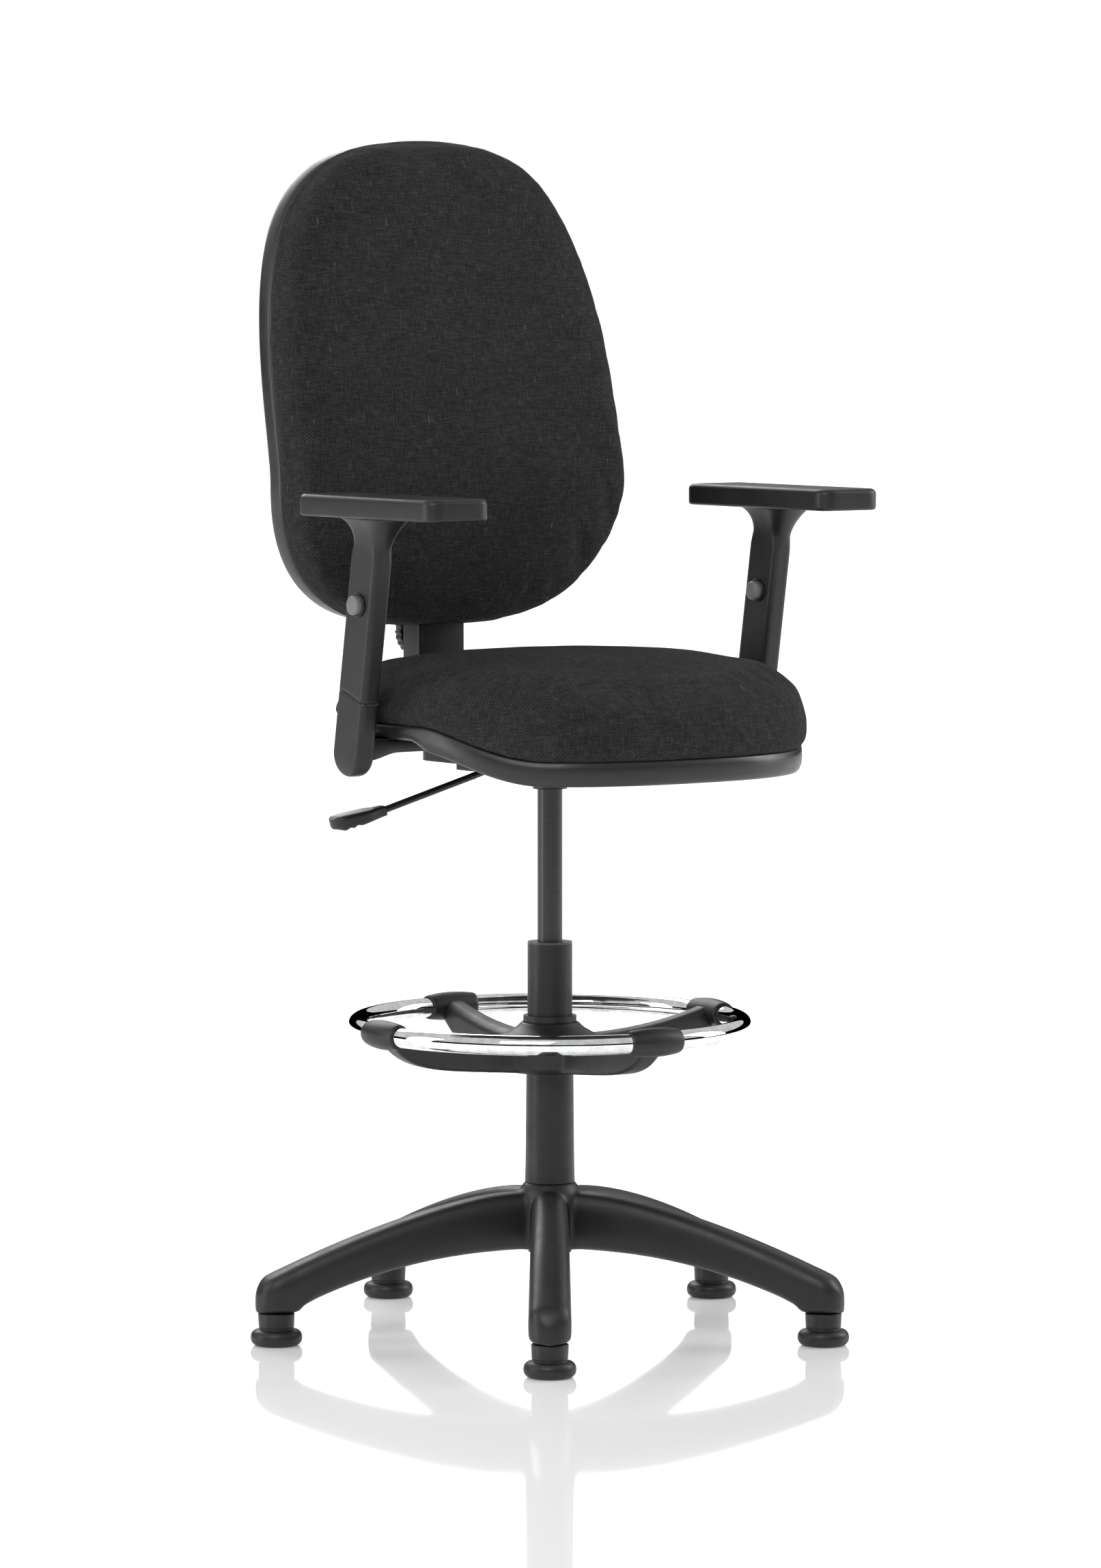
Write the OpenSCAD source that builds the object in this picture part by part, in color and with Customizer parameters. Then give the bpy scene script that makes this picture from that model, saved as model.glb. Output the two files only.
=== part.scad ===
// Drafting chair: five-leg base on glides, gas column with a foot ring, tilting back and
// height-adjustable arms. Millimetres, +Z up, the origin on the floor in the middle of the box
// round the chair. The sitter faces -Y, with the right hand on the -X side.

/* [Base] */
// Radius of the circle through the feet
foot_circle_r = 318; // [270:2:382]
// Largest diameter of a glide's foot
glide_d = 57.5; // [48:0.5:69]
// Height of a glide's rounded foot
glide_foot_h = 17; // [14:0.5:20]
// Height of a glide's neck
glide_neck_h = 19; // [15:0.5:23]
// Diameter of the steel stem that holds a glide in its leg
glide_stem_d = 11; // [9:0.5:13]
// Width of a leg at the hub
leg_w_hub = 38; // [32:1:46]
// Width of a leg at its outer end
leg_w_end = 47; // [40:1:56]
// Height of the hub's top above the floor
hub_top_z = 169; // [150:1:200]
// Height of the hub's socket
hub_h = 75; // [62:1:90]

/* [Column] */
// Outer diameter of the column tube
tube_d = 50; // [42:1:60]
// Wall of the column tube
tube_wall = 2.5; // [2:0.1:3]
// Height of the top of the column above the floor
column_top_z = 438.5; // [400:1:500]
// Diameter of the gas cylinder
cylinder_d = 28; // [24:1:33]
// Diameter of the piston rod
piston_rod_d = 10; // [8:0.5:12]
// How far the seat can be lowered from its highest place
seat_travel = 165; // [138:1:198]

/* [Foot ring] */
// Radius of the foot ring, to the middle of its tube
ring_r = 215; // [180:1:258]
// Diameter of the foot ring's tube
ring_tube_d = 22; // [18:1:26]
// Height of the foot ring above the floor, at its lowest place
ring_z = 346; // [330:1:400]
// Length of a clip along the foot ring
clip_l = 62; // [52:1:74]
// Turn of the foot ring's four arms from the chair's own axes
ring_turn = -4; // [-40:1:40]

/* [Seat] */
// Width of the seat
seat_w = 490; // [410:5:590]
// Length of the seat in front of the column
seat_front = 280; // [235:5:336]
// Length of the seat behind the column
seat_rear = 190; // [160:5:200]
// Height of the seat's crown above the floor, at its highest place
seat_top_z = 765; // [735:5:900]
// Height of the crown above the seat board
cushion_h = 72; // [60:1:86]
// Thickness of the seat board
board_t = 13.5; // [11:0.5:16]
// Wall of the moulded shells
shell_wall = 3; // [2.5:0.1:3.6]

/* [Back] */
// Width of the back
back_w = 448; // [380:5:530]
// Height of the back from its lower edge to its upper edge
back_h = 540; // [450:5:640]
// Gap from the seat's crown up to the back's lower edge
back_gap = 20; // [10:1:60]
// Thickness of the back cushion
back_cushion_t = 46; // [38:1:55]
// Width of the steel upright
upright_w = 50; // [42:1:58]
// Thickness of the steel upright
upright_t = 6; // [5:0.5:7]
// Diameter of the hand wheel
wheel_d = 60; // [50:1:68]

/* [Arms] */
// Gap between the side of the seat and an arm post
arm_gap = 16; // [10:1:40]
// Length of an arm pad
pad_l = 258; // [215:1:310]
// Width of an arm pad
pad_w = 80.5; // [70:0.5:96]
// Thickness of an arm pad
pad_t = 24.5; // [20:0.5:30]
// Height from the seat's crown to the underside of an arm pad, at its lowest place
pad_rise = 154; // [140:1:200]
// Depth of an arm post, front to back
post_l = 50; // [44:1:60]
// Thickness of an arm post, side to side
post_w = 24; // [20:1:29]
// Forward lean of the arm posts
arm_rake = 9.4; // [4:0.2:12]

/* [Lever] */
// Reach of the height lever from its pivot to the end of the paddle
lever_reach = 265; // [220:5:300]
// Diameter of the lever's rod
lever_rod_d = 7.5; // [6:0.5:9]
// Width of the lever's paddle
paddle_w = 28; // [24:1:34]

/* [Hidden] */
$fn = 96;

black = "#26272a";
charcoal = "#303134";
steel = "#8f949a";
chrome = "#d8dbe0";
zinc = "#b9bcc0";
button_grey = "#77797c";

// Radial gap of a shaft that turns or slides in its hole
running_gap = 0.05;
// Gap between faces of different bodies that pass each other
pass_gap = 0.4;
eps = 0.01;

leg_count = 5;
leg_angles = [for (i = [0:leg_count - 1]) 90 + i * 360 / leg_count];

// --- Heights of the stack from the floor up ---
glide_h = glide_foot_h + glide_neck_h;
stem_low_z = 10;
stem_in_leg = 25;
hub_bottom_z = hub_top_z - hub_h;
hub_r = tube_d / 2 + 9;
tube_r = tube_d / 2;
tube_bore_r = tube_r - tube_wall;
tube_taper = 0.8;
bush_flange_t = 2;
bush_h = 60;
tube_foot_z = hub_bottom_z - 4;
race_t = 2;
ball_r = 1.6;
race_z = tube_foot_z + 4;
ball_z = race_z + race_t + pass_gap + ball_r;
race_upper_z = ball_z + ball_r;
bump_z = race_upper_z + race_t;
bump_h = 18;
cylinder_r = cylinder_d / 2;
cylinder_bore_r = cylinder_r - 2;
rod_r = piston_rod_d / 2;
cylinder_foot_z = bump_z + bump_h + seat_travel + 3;
cylinder_guide_h = 12;
piston_head_z = cylinder_foot_z + cylinder_guide_h + 6;
piston_head_h = 12;

// Seam between the seat's cushion and its shell, at the middle and the rear
seat_seam_z = seat_top_z - cushion_h;
seat_floor_z = seat_seam_z - board_t - shell_wall;
plate_t = 3;
plate_bottom_z = seat_floor_z - plate_t;
socket_bottom_z = plate_bottom_z - 64;
socket_h = 33;
cylinder_top_z = socket_bottom_z + socket_h + 5;
cylinder_taper = 1;
cylinder_cap_h = 18;

// --- Rounded outlines ---
function power_round(v, p) = sign(v) * pow(abs(v), 2 / p);
// Closed outline with half-width a, reach up in front of and down behind the middle, and its own
// roundness each way
function egg(a, up, down, round_a, round_up, round_down, step = 6) = [
    for (t = [0:step:360 - step])
        [a * power_round(cos(t), round_a),
         sin(t) < 0 ? down * power_round(sin(t), round_down) : up * power_round(sin(t), round_up)]
];
function seat_outline(inset) = egg(seat_w / 2 - inset, seat_rear - inset, seat_front - inset, 2.5, 2.1, 2.65);

back_low_z = seat_top_z + back_gap;
// The back is widest at the lumbar line, lower than its middle
back_lumbar = 0.296 * back_h;
back_mid_z = back_low_z + back_lumbar;
function back_outline(inset) = [
    for (p = egg(back_w / 2 - inset, back_h - back_lumbar - inset, back_lumbar - inset, 3.1, 2.75, 1.85))
        [p[0], p[1] + back_mid_z]
];

// Band between two lines given as functions of the same stations
function band(stations, low, high) = concat(
    [for (i = [0:len(stations) - 1]) [stations[i], low[i]]],
    [for (i = [len(stations) - 1:-1:0]) [stations[i], high[i]]]
);

// --- Seat lines, as heights over the front-to-back position ---
seat_stations = [for (i = [0:16]) -seat_front - 1 + i * (seat_front + seat_rear + 2) / 16];
nose_start = -0.3 * seat_front;
nose_run = 0.53 * seat_front;
nose_drop = 33;
function ease(u) = u * u * (3 - 2 * u);
function nose(y) = nose_drop * ease(min(1, max(0, (nose_start - y) / nose_run)));
function seam_at(y) = seat_seam_z - nose(y);
// The rim reaches lower at the nose than along the sides
rim_h_side = board_t + shell_wall;
rim_h_nose = 27;
rim_step_y = nose_start;
function rim_at(y) = seam_at(y) - (y < rim_step_y ? rim_h_nose : rim_h_side);
crown_y = -0.39 * seat_front;
crown_fall = 12;
function crown_at(y) = y < crown_y
    ? seat_top_z
        - (cushion_h + 22)
            * (1 - sqrt(max(0, 1 - pow((crown_y - y) / (seat_front + crown_y + 2), 2))))
    : seat_top_z - crown_fall * pow((y - crown_y) / (seat_rear - crown_y), 2);

// --- Back lines, as front-to-back positions over the height ---
back_front_y = 201;
back_bend = 0.22;
back_bend_r = 30;
// The back curls forward again over its top
back_curl_h = 105;
back_curl = 16;
function back_line(z) = back_front_y + back_bend * (norm([z - back_mid_z, back_bend_r]) - back_bend_r)
    - back_curl * pow(max(0, z - back_low_z - back_h + back_curl_h) / back_curl_h, 2);
back_stations = [for (i = [0:18]) back_low_z - 1 + i * (back_h + 2) / 18];
back_shell_depth = 24;
function back_face(z) = back_line(z) - back_cushion_t
    * pow(max(0, 1 - pow(abs(z - back_low_z - back_h / 2) / (back_h / 2 + 2), 8)), 0.3);

// --- Recline and the upright behind the seat ---
recline_y = 75;
recline_pin_r = 6;
recline_z = plate_bottom_z - 22;
upright_y = 225;
upright_bend_r = 22;
upright_top_z = back_low_z + 200;
cover_w = upright_w + 13;
cover_d = 32;
cover_top_z = back_low_z + 15;
cover_low_z = seat_seam_z - 10;
carriage_low_z = back_low_z + 45;
carriage_top_z = back_low_z + 180;
carriage_back_y = 250;
// Where the carriage passes the upright's rear face, and the tail that holds the clamp
rear_face_y = upright_y + upright_t / 2 + pass_gap;
tail_w = 40;
tail_drop = 22;
wheel_z = back_low_z - 12;
wheel_t = 12;
stud_r = 4;

// --- Arms ---
// Distance between the middles of the two arm posts
arm_span = seat_w + 2 * arm_gap + post_w;
post_corner = 5;
pad_bottom_z = seat_top_z + pad_rise;
sleeve_low_z = seat_seam_z - 57;
seam_arm_z = seat_seam_z + 31;
arm_foot_y = -12;
arm_foot_z = seat_seam_z - 33;
arm_travel = 70;
inner_post_l = 30;
inner_post_w = 8;
button_r = 10.8;
button_out = 9.5;
button_press = 4;
button_l = button_out + post_w / 2 - inner_post_w / 2 - button_press - 0.6;
button_drop = 95;
pad_front_shift = -77;
pad_side_shift = 7.5;
bracket_w = 40;
bracket_t = 6;
bracket_z = seat_floor_z - bracket_t;
bracket_in_x = 150;
beam_h = 21;
beam_w = 48;
arm_bolt_r = 3;

// --- Lever and release pin ---
lever_pivot_x = -28.6;
lever_pivot_z = cylinder_top_z + 2;
lever_hub_r = 8;
lever_pin_r = 4;
finger_r = 4;
finger_bar_r = 2.2;
finger_z = lever_pivot_z + 12;
release_pin_r = 3.9;
release_pin_z = cylinder_top_z - cylinder_cap_h + 8;

// --- Mechanism ---
box_x = 55;
box_front_y = -62;
box_rear_y = 108;
box_wall = 3;
box_corner = 8;
wing_x = 128;
wing_y = 84;
wing_corner = 30;
plate_front_y = -72;
plate_rear_y = 99;
wing_z = seat_floor_z - 34;
box_low_z = wing_z - 16;
bolt_x = 100;
bolt_y = 60;

module side_extrude(width) {
    translate([-width / 2, 0, 0])
        rotate([90, 0, 90])
            linear_extrude(width) children();
}

module face_extrude(y_near, y_far) {
    translate([0, y_far, 0])
        rotate([90, 0, 0])
            linear_extrude(y_far - y_near) children();
}

module rounded_block(size, r) {
    linear_extrude(size[2])
        rounded_square(size[0], size[1], r);
}

module rounded_square(w, l, r) {
    square([w - 2 * r, l], center = true);
    square([w, l - 2 * r], center = true);
    for (x = [-1, 1], y = [-1, 1])
        translate([x * (w / 2 - r), y * (l / 2 - r)]) circle(r);
}

// --- Base ---
leg_boss_z = glide_h;
leg_end_top_z = leg_boss_z + 39;
leg_r_hub = hub_r - 4;
leg_root_drop = 4;
leg_boss_h = 8;
leg_reach = foot_circle_r - leg_r_hub;
leg_inner = leg_reach - leg_w_end / 2;
leg_root_z = hub_top_z - leg_root_drop;
// Upper and lower line of a leg, over the share of the way out
function leg_top(u) = leg_root_z - (leg_root_z - leg_end_top_z) * pow(u, 1.35);
function leg_low(u) = hub_bottom_z - (hub_bottom_z - leg_boss_z - leg_boss_h) * pow(u, 1.9);

module leg() {
    steps = 10;
    end_r = foot_circle_r + leg_w_end / 2;
    intersection() {
        side_extrude(leg_w_end + 2)
            polygon(concat(
                [for (i = [0:steps]) [leg_r_hub + leg_inner * i / steps, leg_low(i / steps)]],
                [[leg_r_hub + leg_inner, leg_boss_z], [end_r, leg_boss_z]],
                [[end_r, leg_end_top_z - 14], [end_r - 9, leg_end_top_z - 4]],
                [for (i = [steps:-1:0]) [leg_r_hub + leg_reach * i / steps, leg_top(i / steps)]]
            ));
        linear_extrude(hub_top_z)
            union() {
                polygon([
                    [-leg_w_hub / 2, leg_r_hub - 8], [leg_w_hub / 2, leg_r_hub - 8],
                    [leg_w_end / 2, foot_circle_r], [-leg_w_end / 2, foot_circle_r]
                ]);
                translate([0, foot_circle_r]) circle(leg_w_end / 2);
            }
    }
}

module tube_taper_cone(extra) {
    translate([0, 0, hub_bottom_z])
        cylinder(h = hub_h + extra, r1 = tube_r - tube_taper, r2 = tube_r + extra * tube_taper / hub_h);
}

module base_star() {
    color(black)
        difference() {
            union() {
                translate([0, 0, hub_bottom_z])
                    rotate_extrude()
                        polygon([
                            [0, 0], [hub_r - 3, 0], [hub_r, 5], [hub_r, hub_h - 14],
                            [hub_r - 2, hub_h - 5], [hub_r - 6, hub_h], [0, hub_h]
                        ]);
                for (a = leg_angles)
                    rotate([0, 0, a - 90]) leg();
            }
            tube_taper_cone(1);
            translate([0, 0, hub_bottom_z - 1]) cylinder(h = 2, r = tube_r - tube_taper);
            for (a = leg_angles)
                rotate([0, 0, a]) translate([foot_circle_r, 0, leg_boss_z - 1])
                    cylinder(h = stem_in_leg + 1, d = glide_stem_d);
        }
}

module glide(i) {
    sole_r = glide_d / 2 - 5.5;
    waist_r = glide_d / 2 - 7;
    color(black)
        rotate([0, 0, leg_angles[i]]) translate([foot_circle_r, 0, 0])
            difference() {
                rotate_extrude()
                    polygon(concat(
                        [[0, 0]],
                        [for (a = [-90:15:90])
                            [sole_r + (glide_d / 2 - sole_r) * cos(a), glide_foot_h / 2 * (1 + sin(a))]],
                        [
                            [waist_r, glide_foot_h], [waist_r, glide_foot_h + 1],
                            [waist_r - 2.5, glide_h], [0, glide_h]
                        ]
                    ));
                translate([0, 0, stem_low_z]) cylinder(h = glide_h, d = glide_stem_d);
            }
}

module glide_stems() {
    color(zinc)
        for (a = leg_angles)
            rotate([0, 0, a]) translate([foot_circle_r, 0, stem_low_z])
                cylinder(h = leg_boss_z - stem_low_z + stem_in_leg, d = glide_stem_d);
}

// --- Column ---
module column_tube() {
    color(black)
        difference() {
            union() {
                translate([0, 0, tube_foot_z])
                    cylinder(h = hub_bottom_z - tube_foot_z, r = tube_r - tube_taper);
                tube_taper_cone(0);
                translate([0, 0, hub_top_z])
                    cylinder(h = column_top_z - bush_flange_t - hub_top_z, r = tube_r);
            }
            translate([0, 0, race_z]) cylinder(h = column_top_z, r = tube_bore_r);
            translate([0, 0, tube_foot_z - 1]) cylinder(h = 10, r = rod_r + running_gap);
        }
}

module guide_bush() {
    color("#4a4b4e")
        translate([0, 0, column_top_z - bush_h])
            difference() {
                union() {
                    cylinder(h = bush_h, r = tube_bore_r);
                    translate([0, 0, bush_h - bush_flange_t]) cylinder(h = bush_flange_t, r = tube_r);
                }
                translate([0, 0, -1]) cylinder(h = bush_h + 2, r = cylinder_r + running_gap);
            }
}

cover_gap = 0.1;
collet_h = 32;
flange_h = 6;
flange_top_z = ring_z + 10;
collet_low_z = flange_top_z - flange_h - collet_h;
cover_top = collet_low_z - 0.5;
module column_cover() {
    color(black)
        translate([0, 0, hub_top_z])
            difference() {
                rotate_extrude()
                    polygon([
                        [0, 0], [tube_r + 3, 0], [tube_r + 2.3, 20],
                        [tube_r + 1.2, cover_top - hub_top_z], [0, cover_top - hub_top_z]
                    ]);
                translate([0, 0, -1]) cylinder(h = cover_top, r = tube_r + cover_gap);
            }
}

module race(z, bore_r) {
    translate([0, 0, z])
        difference() {
            cylinder(h = race_t, r = rod_r + 9);
            translate([0, 0, -1]) cylinder(h = race_t + 2, r = bore_r);
        }
}

module bearing_race_lower() {
    color(steel) race(race_z, rod_r + running_gap);
}

module bearing_race_upper() {
    color(steel) race(race_upper_z, rod_r);
}

module bearing_balls() {
    color(zinc)
        for (a = [0:45:315])
            rotate([0, 0, a]) translate([rod_r + 5, 0, ball_z]) sphere(ball_r);
}

module bump_stop() {
    color("#2c2c2c")
        translate([0, 0, bump_z])
            difference() {
                cylinder(h = bump_h, r1 = rod_r + 8, r2 = rod_r + 6);
                translate([0, 0, -1]) cylinder(h = bump_h + 2, r = rod_r);
            }
}

clip_z = tube_foot_z - 3;
// How far the piston rod stands out of its clip and its head
rod_end = 3;
module rod_clip() {
    color(zinc)
        translate([0, 0, clip_z])
            difference() {
                cylinder(h = 2, r = rod_r + 5);
                translate([0, 0, -1]) cylinder(h = 4, r = rod_r);
            }
}

module piston_rod() {
    color(steel)
        translate([0, 0, clip_z - rod_end])
            cylinder(h = piston_head_z + piston_head_h + 2 * rod_end - clip_z, r = rod_r);
}

module piston_head() {
    color(zinc)
        translate([0, 0, piston_head_z])
            difference() {
                cylinder(h = piston_head_h, r = cylinder_bore_r - running_gap);
                translate([0, 0, -1]) cylinder(h = piston_head_h + 2, r = rod_r);
            }
}

module cylinder_cone(extra) {
    translate([0, 0, socket_bottom_z])
        cylinder(
            h = socket_h + extra,
            r1 = cylinder_r,
            r2 = cylinder_r - cylinder_taper * (1 + extra / socket_h)
        );
}

module gas_cylinder() {
    color(charcoal)
        difference() {
            union() {
                translate([0, 0, cylinder_foot_z])
                    cylinder(h = socket_bottom_z - cylinder_foot_z, r = cylinder_r);
                cylinder_cone(cylinder_top_z - socket_bottom_z - socket_h);
            }
            translate([0, 0, cylinder_foot_z - 1])
                cylinder(h = cylinder_top_z - cylinder_cap_h - cylinder_foot_z + 1, r = cylinder_bore_r);
            translate([0, 0, cylinder_top_z - cylinder_cap_h + 4])
                cylinder(h = cylinder_cap_h, r = release_pin_r + running_gap);
        }
}

module cylinder_guide() {
    color(black)
        translate([0, 0, cylinder_foot_z])
            difference() {
                cylinder(h = cylinder_guide_h, r = cylinder_bore_r);
                translate([0, 0, -1]) cylinder(h = cylinder_guide_h + 2, r = rod_r + running_gap);
            }
}

// --- Foot ring ---
hub_bore_r = tube_r + 3.6;
module ring_collet() {
    color("#3a3b3d")
        translate([0, 0, collet_low_z])
            difference() {
                union() {
                    cylinder(h = collet_h, r = hub_bore_r - running_gap);
                    translate([0, 0, collet_h]) cylinder(h = flange_h, r = tube_r + 4.7);
                }
                translate([0, 0, -1]) cylinder(h = collet_h + flange_h + 2, r = tube_r + running_gap);
            }
}

spider_top_z = flange_top_z - flange_h - pass_gap;
spider_low_z = ring_z - 52;
spider_arm_h = 38;
spider_arm_w = 36;
arm_slope = 14;
arm_low_rise = 45;
arm_top_rise = 25;
module spider_arm() {
    root_r = hub_bore_r + 11;
    reach = ring_r - root_r;
    steps = 10;
    low = [
        for (i = [0:steps])
            spider_low_z + arm_slope * i / steps + (arm_low_rise - arm_slope) * pow(i / steps, 7)
    ];
    top = [for (i = [0:steps]) spider_low_z + spider_arm_h + arm_top_rise * pow(i / steps, 2.2)];
    intersection() {
        side_extrude(2 * spider_arm_w)
            polygon(concat(
                [for (i = [0:steps]) [root_r + reach * i / steps, low[i]]],
                [for (i = [steps:-1:0]) [root_r + reach * i / steps, top[i]]]
            ));
        linear_extrude(ring_z + ring_tube_d)
            polygon([
                [-spider_arm_w / 2, root_r - 9], [spider_arm_w / 2, root_r - 9],
                [spider_arm_w / 2 - 4, ring_r], [-spider_arm_w / 2 + 4, ring_r]
            ]);
    }
}

module clip_barrel(extra) {
    end_r = ring_tube_d / 2 + 2.2;
    mid_r = ring_tube_d / 2 + 4.7;
    translate([0, ring_r, ring_z]) rotate([0, 90, 0])
        rotate_extrude()
            polygon(concat(
                [[0, -clip_l / 2 - extra]],
                [
                    for (i = [-5:5])
                        [end_r + (mid_r - end_r) * cos(90 * i / 5) + extra, (clip_l / 2 + extra) * i / 5]
                ],
                [[0, clip_l / 2 + extra]]
            ));
}

ring_wall = 1.5;
module ring_torus(r) {
    translate([0, 0, ring_z]) rotate_extrude() translate([ring_r, 0]) circle(r);
}

module ring_spider() {
    bell_r = hub_bore_r + 34;
    color(black)
        rotate([0, 0, ring_turn])
            difference() {
                union() {
                    rotate_extrude()
                        polygon([
                            [0, spider_low_z], [bell_r - 12, spider_low_z], [bell_r - 4, spider_low_z + 6],
                            [bell_r, spider_low_z + 33], [bell_r - 8, spider_low_z + 38],
                            [hub_bore_r + 10, spider_top_z - 9], [hub_bore_r + 3, spider_top_z - 4],
                            [hub_bore_r + 1.5, spider_top_z], [0, spider_top_z]
                        ]);
                    for (a = [0:90:270])
                        rotate([0, 0, a]) spider_arm();
                }
                cylinder(h = ring_z * 2, r = hub_bore_r);
                for (a = [0:90:270])
                    rotate([0, 0, a]) clip_barrel(0);
            }
}

module foot_ring() {
    color(chrome)
        translate([0, 0, ring_z]) rotate_extrude() translate([ring_r, 0])
            difference() {
                circle(ring_tube_d / 2);
                circle(ring_tube_d / 2 - ring_wall);
            }
}

module ring_clip(i) {
    color(black)
        difference() {
            rotate([0, 0, ring_turn + i * 90]) clip_barrel(0);
            ring_torus(ring_tube_d / 2);
        }
}

// --- Mechanism ---
// Outer or inner block of the housing's deep box, standing in by the wall on its sides and floor
module box_block(wall) {
    translate([0, (box_front_y + box_rear_y) / 2, box_low_z + wall])
        rounded_block(
            [2 * (box_x - wall), box_rear_y - box_front_y - 2 * wall, plate_bottom_z - box_low_z],
            box_corner - wall
        );
}

// Outer or inner block of the housing's shallow wing
module wing_block(wall) {
    translate([0, 0, wing_z + wall])
        rounded_block(
            [2 * (wing_x - wall), 2 * (wing_y - wall), plate_bottom_z - wing_z],
            wing_corner - wall
        );
}

module mechanism_housing() {
    color(black)
        difference() {
            union() {
                difference() {
                    union() {
                        box_block(0);
                        wing_block(0);
                    }
                    box_block(box_wall);
                    difference() {
                        wing_block(box_wall);
                        box_block(0);
                    }
                }
                translate([0, 0, socket_bottom_z]) cylinder(h = socket_h, r = cylinder_r + 5);
                for (y = [-1, 1])
                    translate([lever_pivot_x - 11, y * 15 - 2, wing_z - 14])
                        cube([22, 4, plate_bottom_z - wing_z + 14]);
                for (x = [-1, 1])
                    translate([x * (box_x - 12) - 4, recline_y - 14, wing_z - 14])
                        cube([8, 28, plate_bottom_z - wing_z + 14]);
            }
            cylinder_cone(1);
            translate([0, 0, socket_bottom_z - 1]) cylinder(h = 1, r = cylinder_r);
            // Window for the lever in the box's side and the wing's floor
            translate([-wing_x + 20, -8, wing_z - 30]) cube([wing_x - 20 + lever_pivot_x - 12, 16, 46]);
            // Slot at the rear for the upright
            translate([-upright_w / 2 - 3, recline_y - 16, wing_z - 30]) cube([upright_w + 6, 90, 90]);
            translate([lever_pivot_x, 0, lever_pivot_z]) rotate([90, 0, 0])
                cylinder(h = 60, r = lever_pin_r + running_gap, center = true);
            translate([0, recline_y, recline_z]) rotate([0, 90, 0])
                cylinder(h = 2 * box_x + 2, r = recline_pin_r, center = true);
        }
}

module at_seat_bolts() {
    for (x = [-1, 1], y = [-1, 1])
        translate([x * bolt_x, y * bolt_y, 0]) children();
}

seat_bolt_r = 3;
module mechanism_plate() {
    color(black)
        difference() {
            translate([0, (plate_rear_y + plate_front_y) / 2, plate_bottom_z])
                rounded_block([2 * wing_x, plate_rear_y - plate_front_y, plate_t], wing_corner);
            at_seat_bolts() translate([0, 0, plate_bottom_z - 1]) cylinder(h = plate_t + 2, r = seat_bolt_r);
        }
}

module recline_pin() {
    color(steel)
        translate([0, recline_y, recline_z]) rotate([0, 90, 0])
            cylinder(h = 2 * box_x - 2, r = recline_pin_r, center = true);
}

// Torsion spring wound round the recline pin, swept along its helix
spring_wire_r = 1.8;
spring_coil_r = recline_pin_r + 5.5;
module recline_spring() {
    turns = 3.5;
    rings = 70;
    sides = 8;
    length = 15;
    path = [for (i = [0:rings]) let (a = 360 * turns * i / rings)
        [length * i / rings, spring_coil_r * cos(a), spring_coil_r * sin(a)]];
    points = [for (i = [0:rings], k = [0:sides - 1])
        let (a = 360 * turns * i / rings, b = 360 * k / sides)
        path[i] + spring_wire_r * [cos(b), sin(b) * cos(a), sin(b) * sin(a)]];
    faces = concat(
        [[for (k = [0:sides - 1]) k]],
        [for (i = [0:rings - 1], k = [0:sides - 1])
            [
                i * sides + k, (i + 1) * sides + k,
                (i + 1) * sides + (k + 1) % sides, i * sides + (k + 1) % sides
            ]],
        [[for (k = [sides - 1:-1:0]) rings * sides + k]]
    );
    color(steel)
        translate([-length / 2, recline_y, recline_z]) polyhedron(points, faces);
}

// --- Seat ---
module seat_body(low, high, inset) {
    intersection() {
        side_extrude(seat_w + 2) polygon(band(seat_stations, low, high));
        translate([0, 0, seat_seam_z - 200]) linear_extrude(500) polygon(seat_outline(inset));
    }
}

rim_t = 9;
module seat_board() {
    color("#a98d62")
        difference() {
            seat_body(
                [for (y = seat_stations) seam_at(y) - board_t],
                [for (y = seat_stations) seam_at(y)],
                rim_t
            );
            at_seat_bolts() cylinder(h = seat_top_z, r = tee_nut_r);
            at_arm_bolts() cylinder(h = seat_top_z, r = arm_bolt_r);
        }
}

module seat_shell() {
    color(black)
        difference() {
            seat_body(
                [for (y = seat_stations) rim_at(y)],
                [for (y = seat_stations) seam_at(y)],
                0
            );
            seat_body(
                [for (y = seat_stations) seam_at(y) - board_t],
                [for (y = seat_stations) seam_at(y) + 5],
                rim_t
            );
            // The rim hangs below the floor at the nose
            seat_body(
                [for (y = seat_stations) seam_at(y) - 200],
                [for (y = seat_stations) seam_at(y) - board_t - shell_wall],
                shell_wall + 2
            );
            at_seat_bolts() cylinder(h = seat_top_z, r = seat_bolt_r);
            at_arm_bolts() cylinder(h = seat_top_z, r = arm_bolt_r);
        }
}

module seat_cushion() {
    color(charcoal)
        intersection() {
            seat_body(
                [for (y = seat_stations) seam_at(y)],
                [for (y = seat_stations) max(crown_at(y), seam_at(y) + 6)],
                0
            );
            face_extrude(-seat_front - 1, seat_rear + 1)
                translate([0, seat_seam_z + 8])
                    polygon(egg(seat_w / 2, cushion_h - 8, cushion_h + 20, 2.3, 2.1, 8));
        }
}

tee_nut_r = 4.5;
tee_nut_h = 9;
module seat_tee_nuts() {
    color(zinc)
        at_seat_bolts() translate([0, 0, seat_seam_z - board_t])
            difference() {
                cylinder(h = tee_nut_h, r = tee_nut_r);
                translate([0, 0, -1]) cylinder(h = tee_nut_h + 2, r = seat_bolt_r);
            }
}

bolt_head_h = 4;
module seat_bolts() {
    color(zinc)
        at_seat_bolts() translate([0, 0, plate_bottom_z - bolt_head_h]) {
            cylinder(h = bolt_head_h, r = 5.5);
            cylinder(h = bolt_head_h + plate_t + shell_wall + tee_nut_h, r = seat_bolt_r);
        }
}

// --- Arms ---
module at_arm_bolts() {
    for (x = [-1, 1], y = [-1, 1])
        translate([x * (bracket_in_x + 14), arm_foot_y + y * 12, 0]) children();
}

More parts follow.
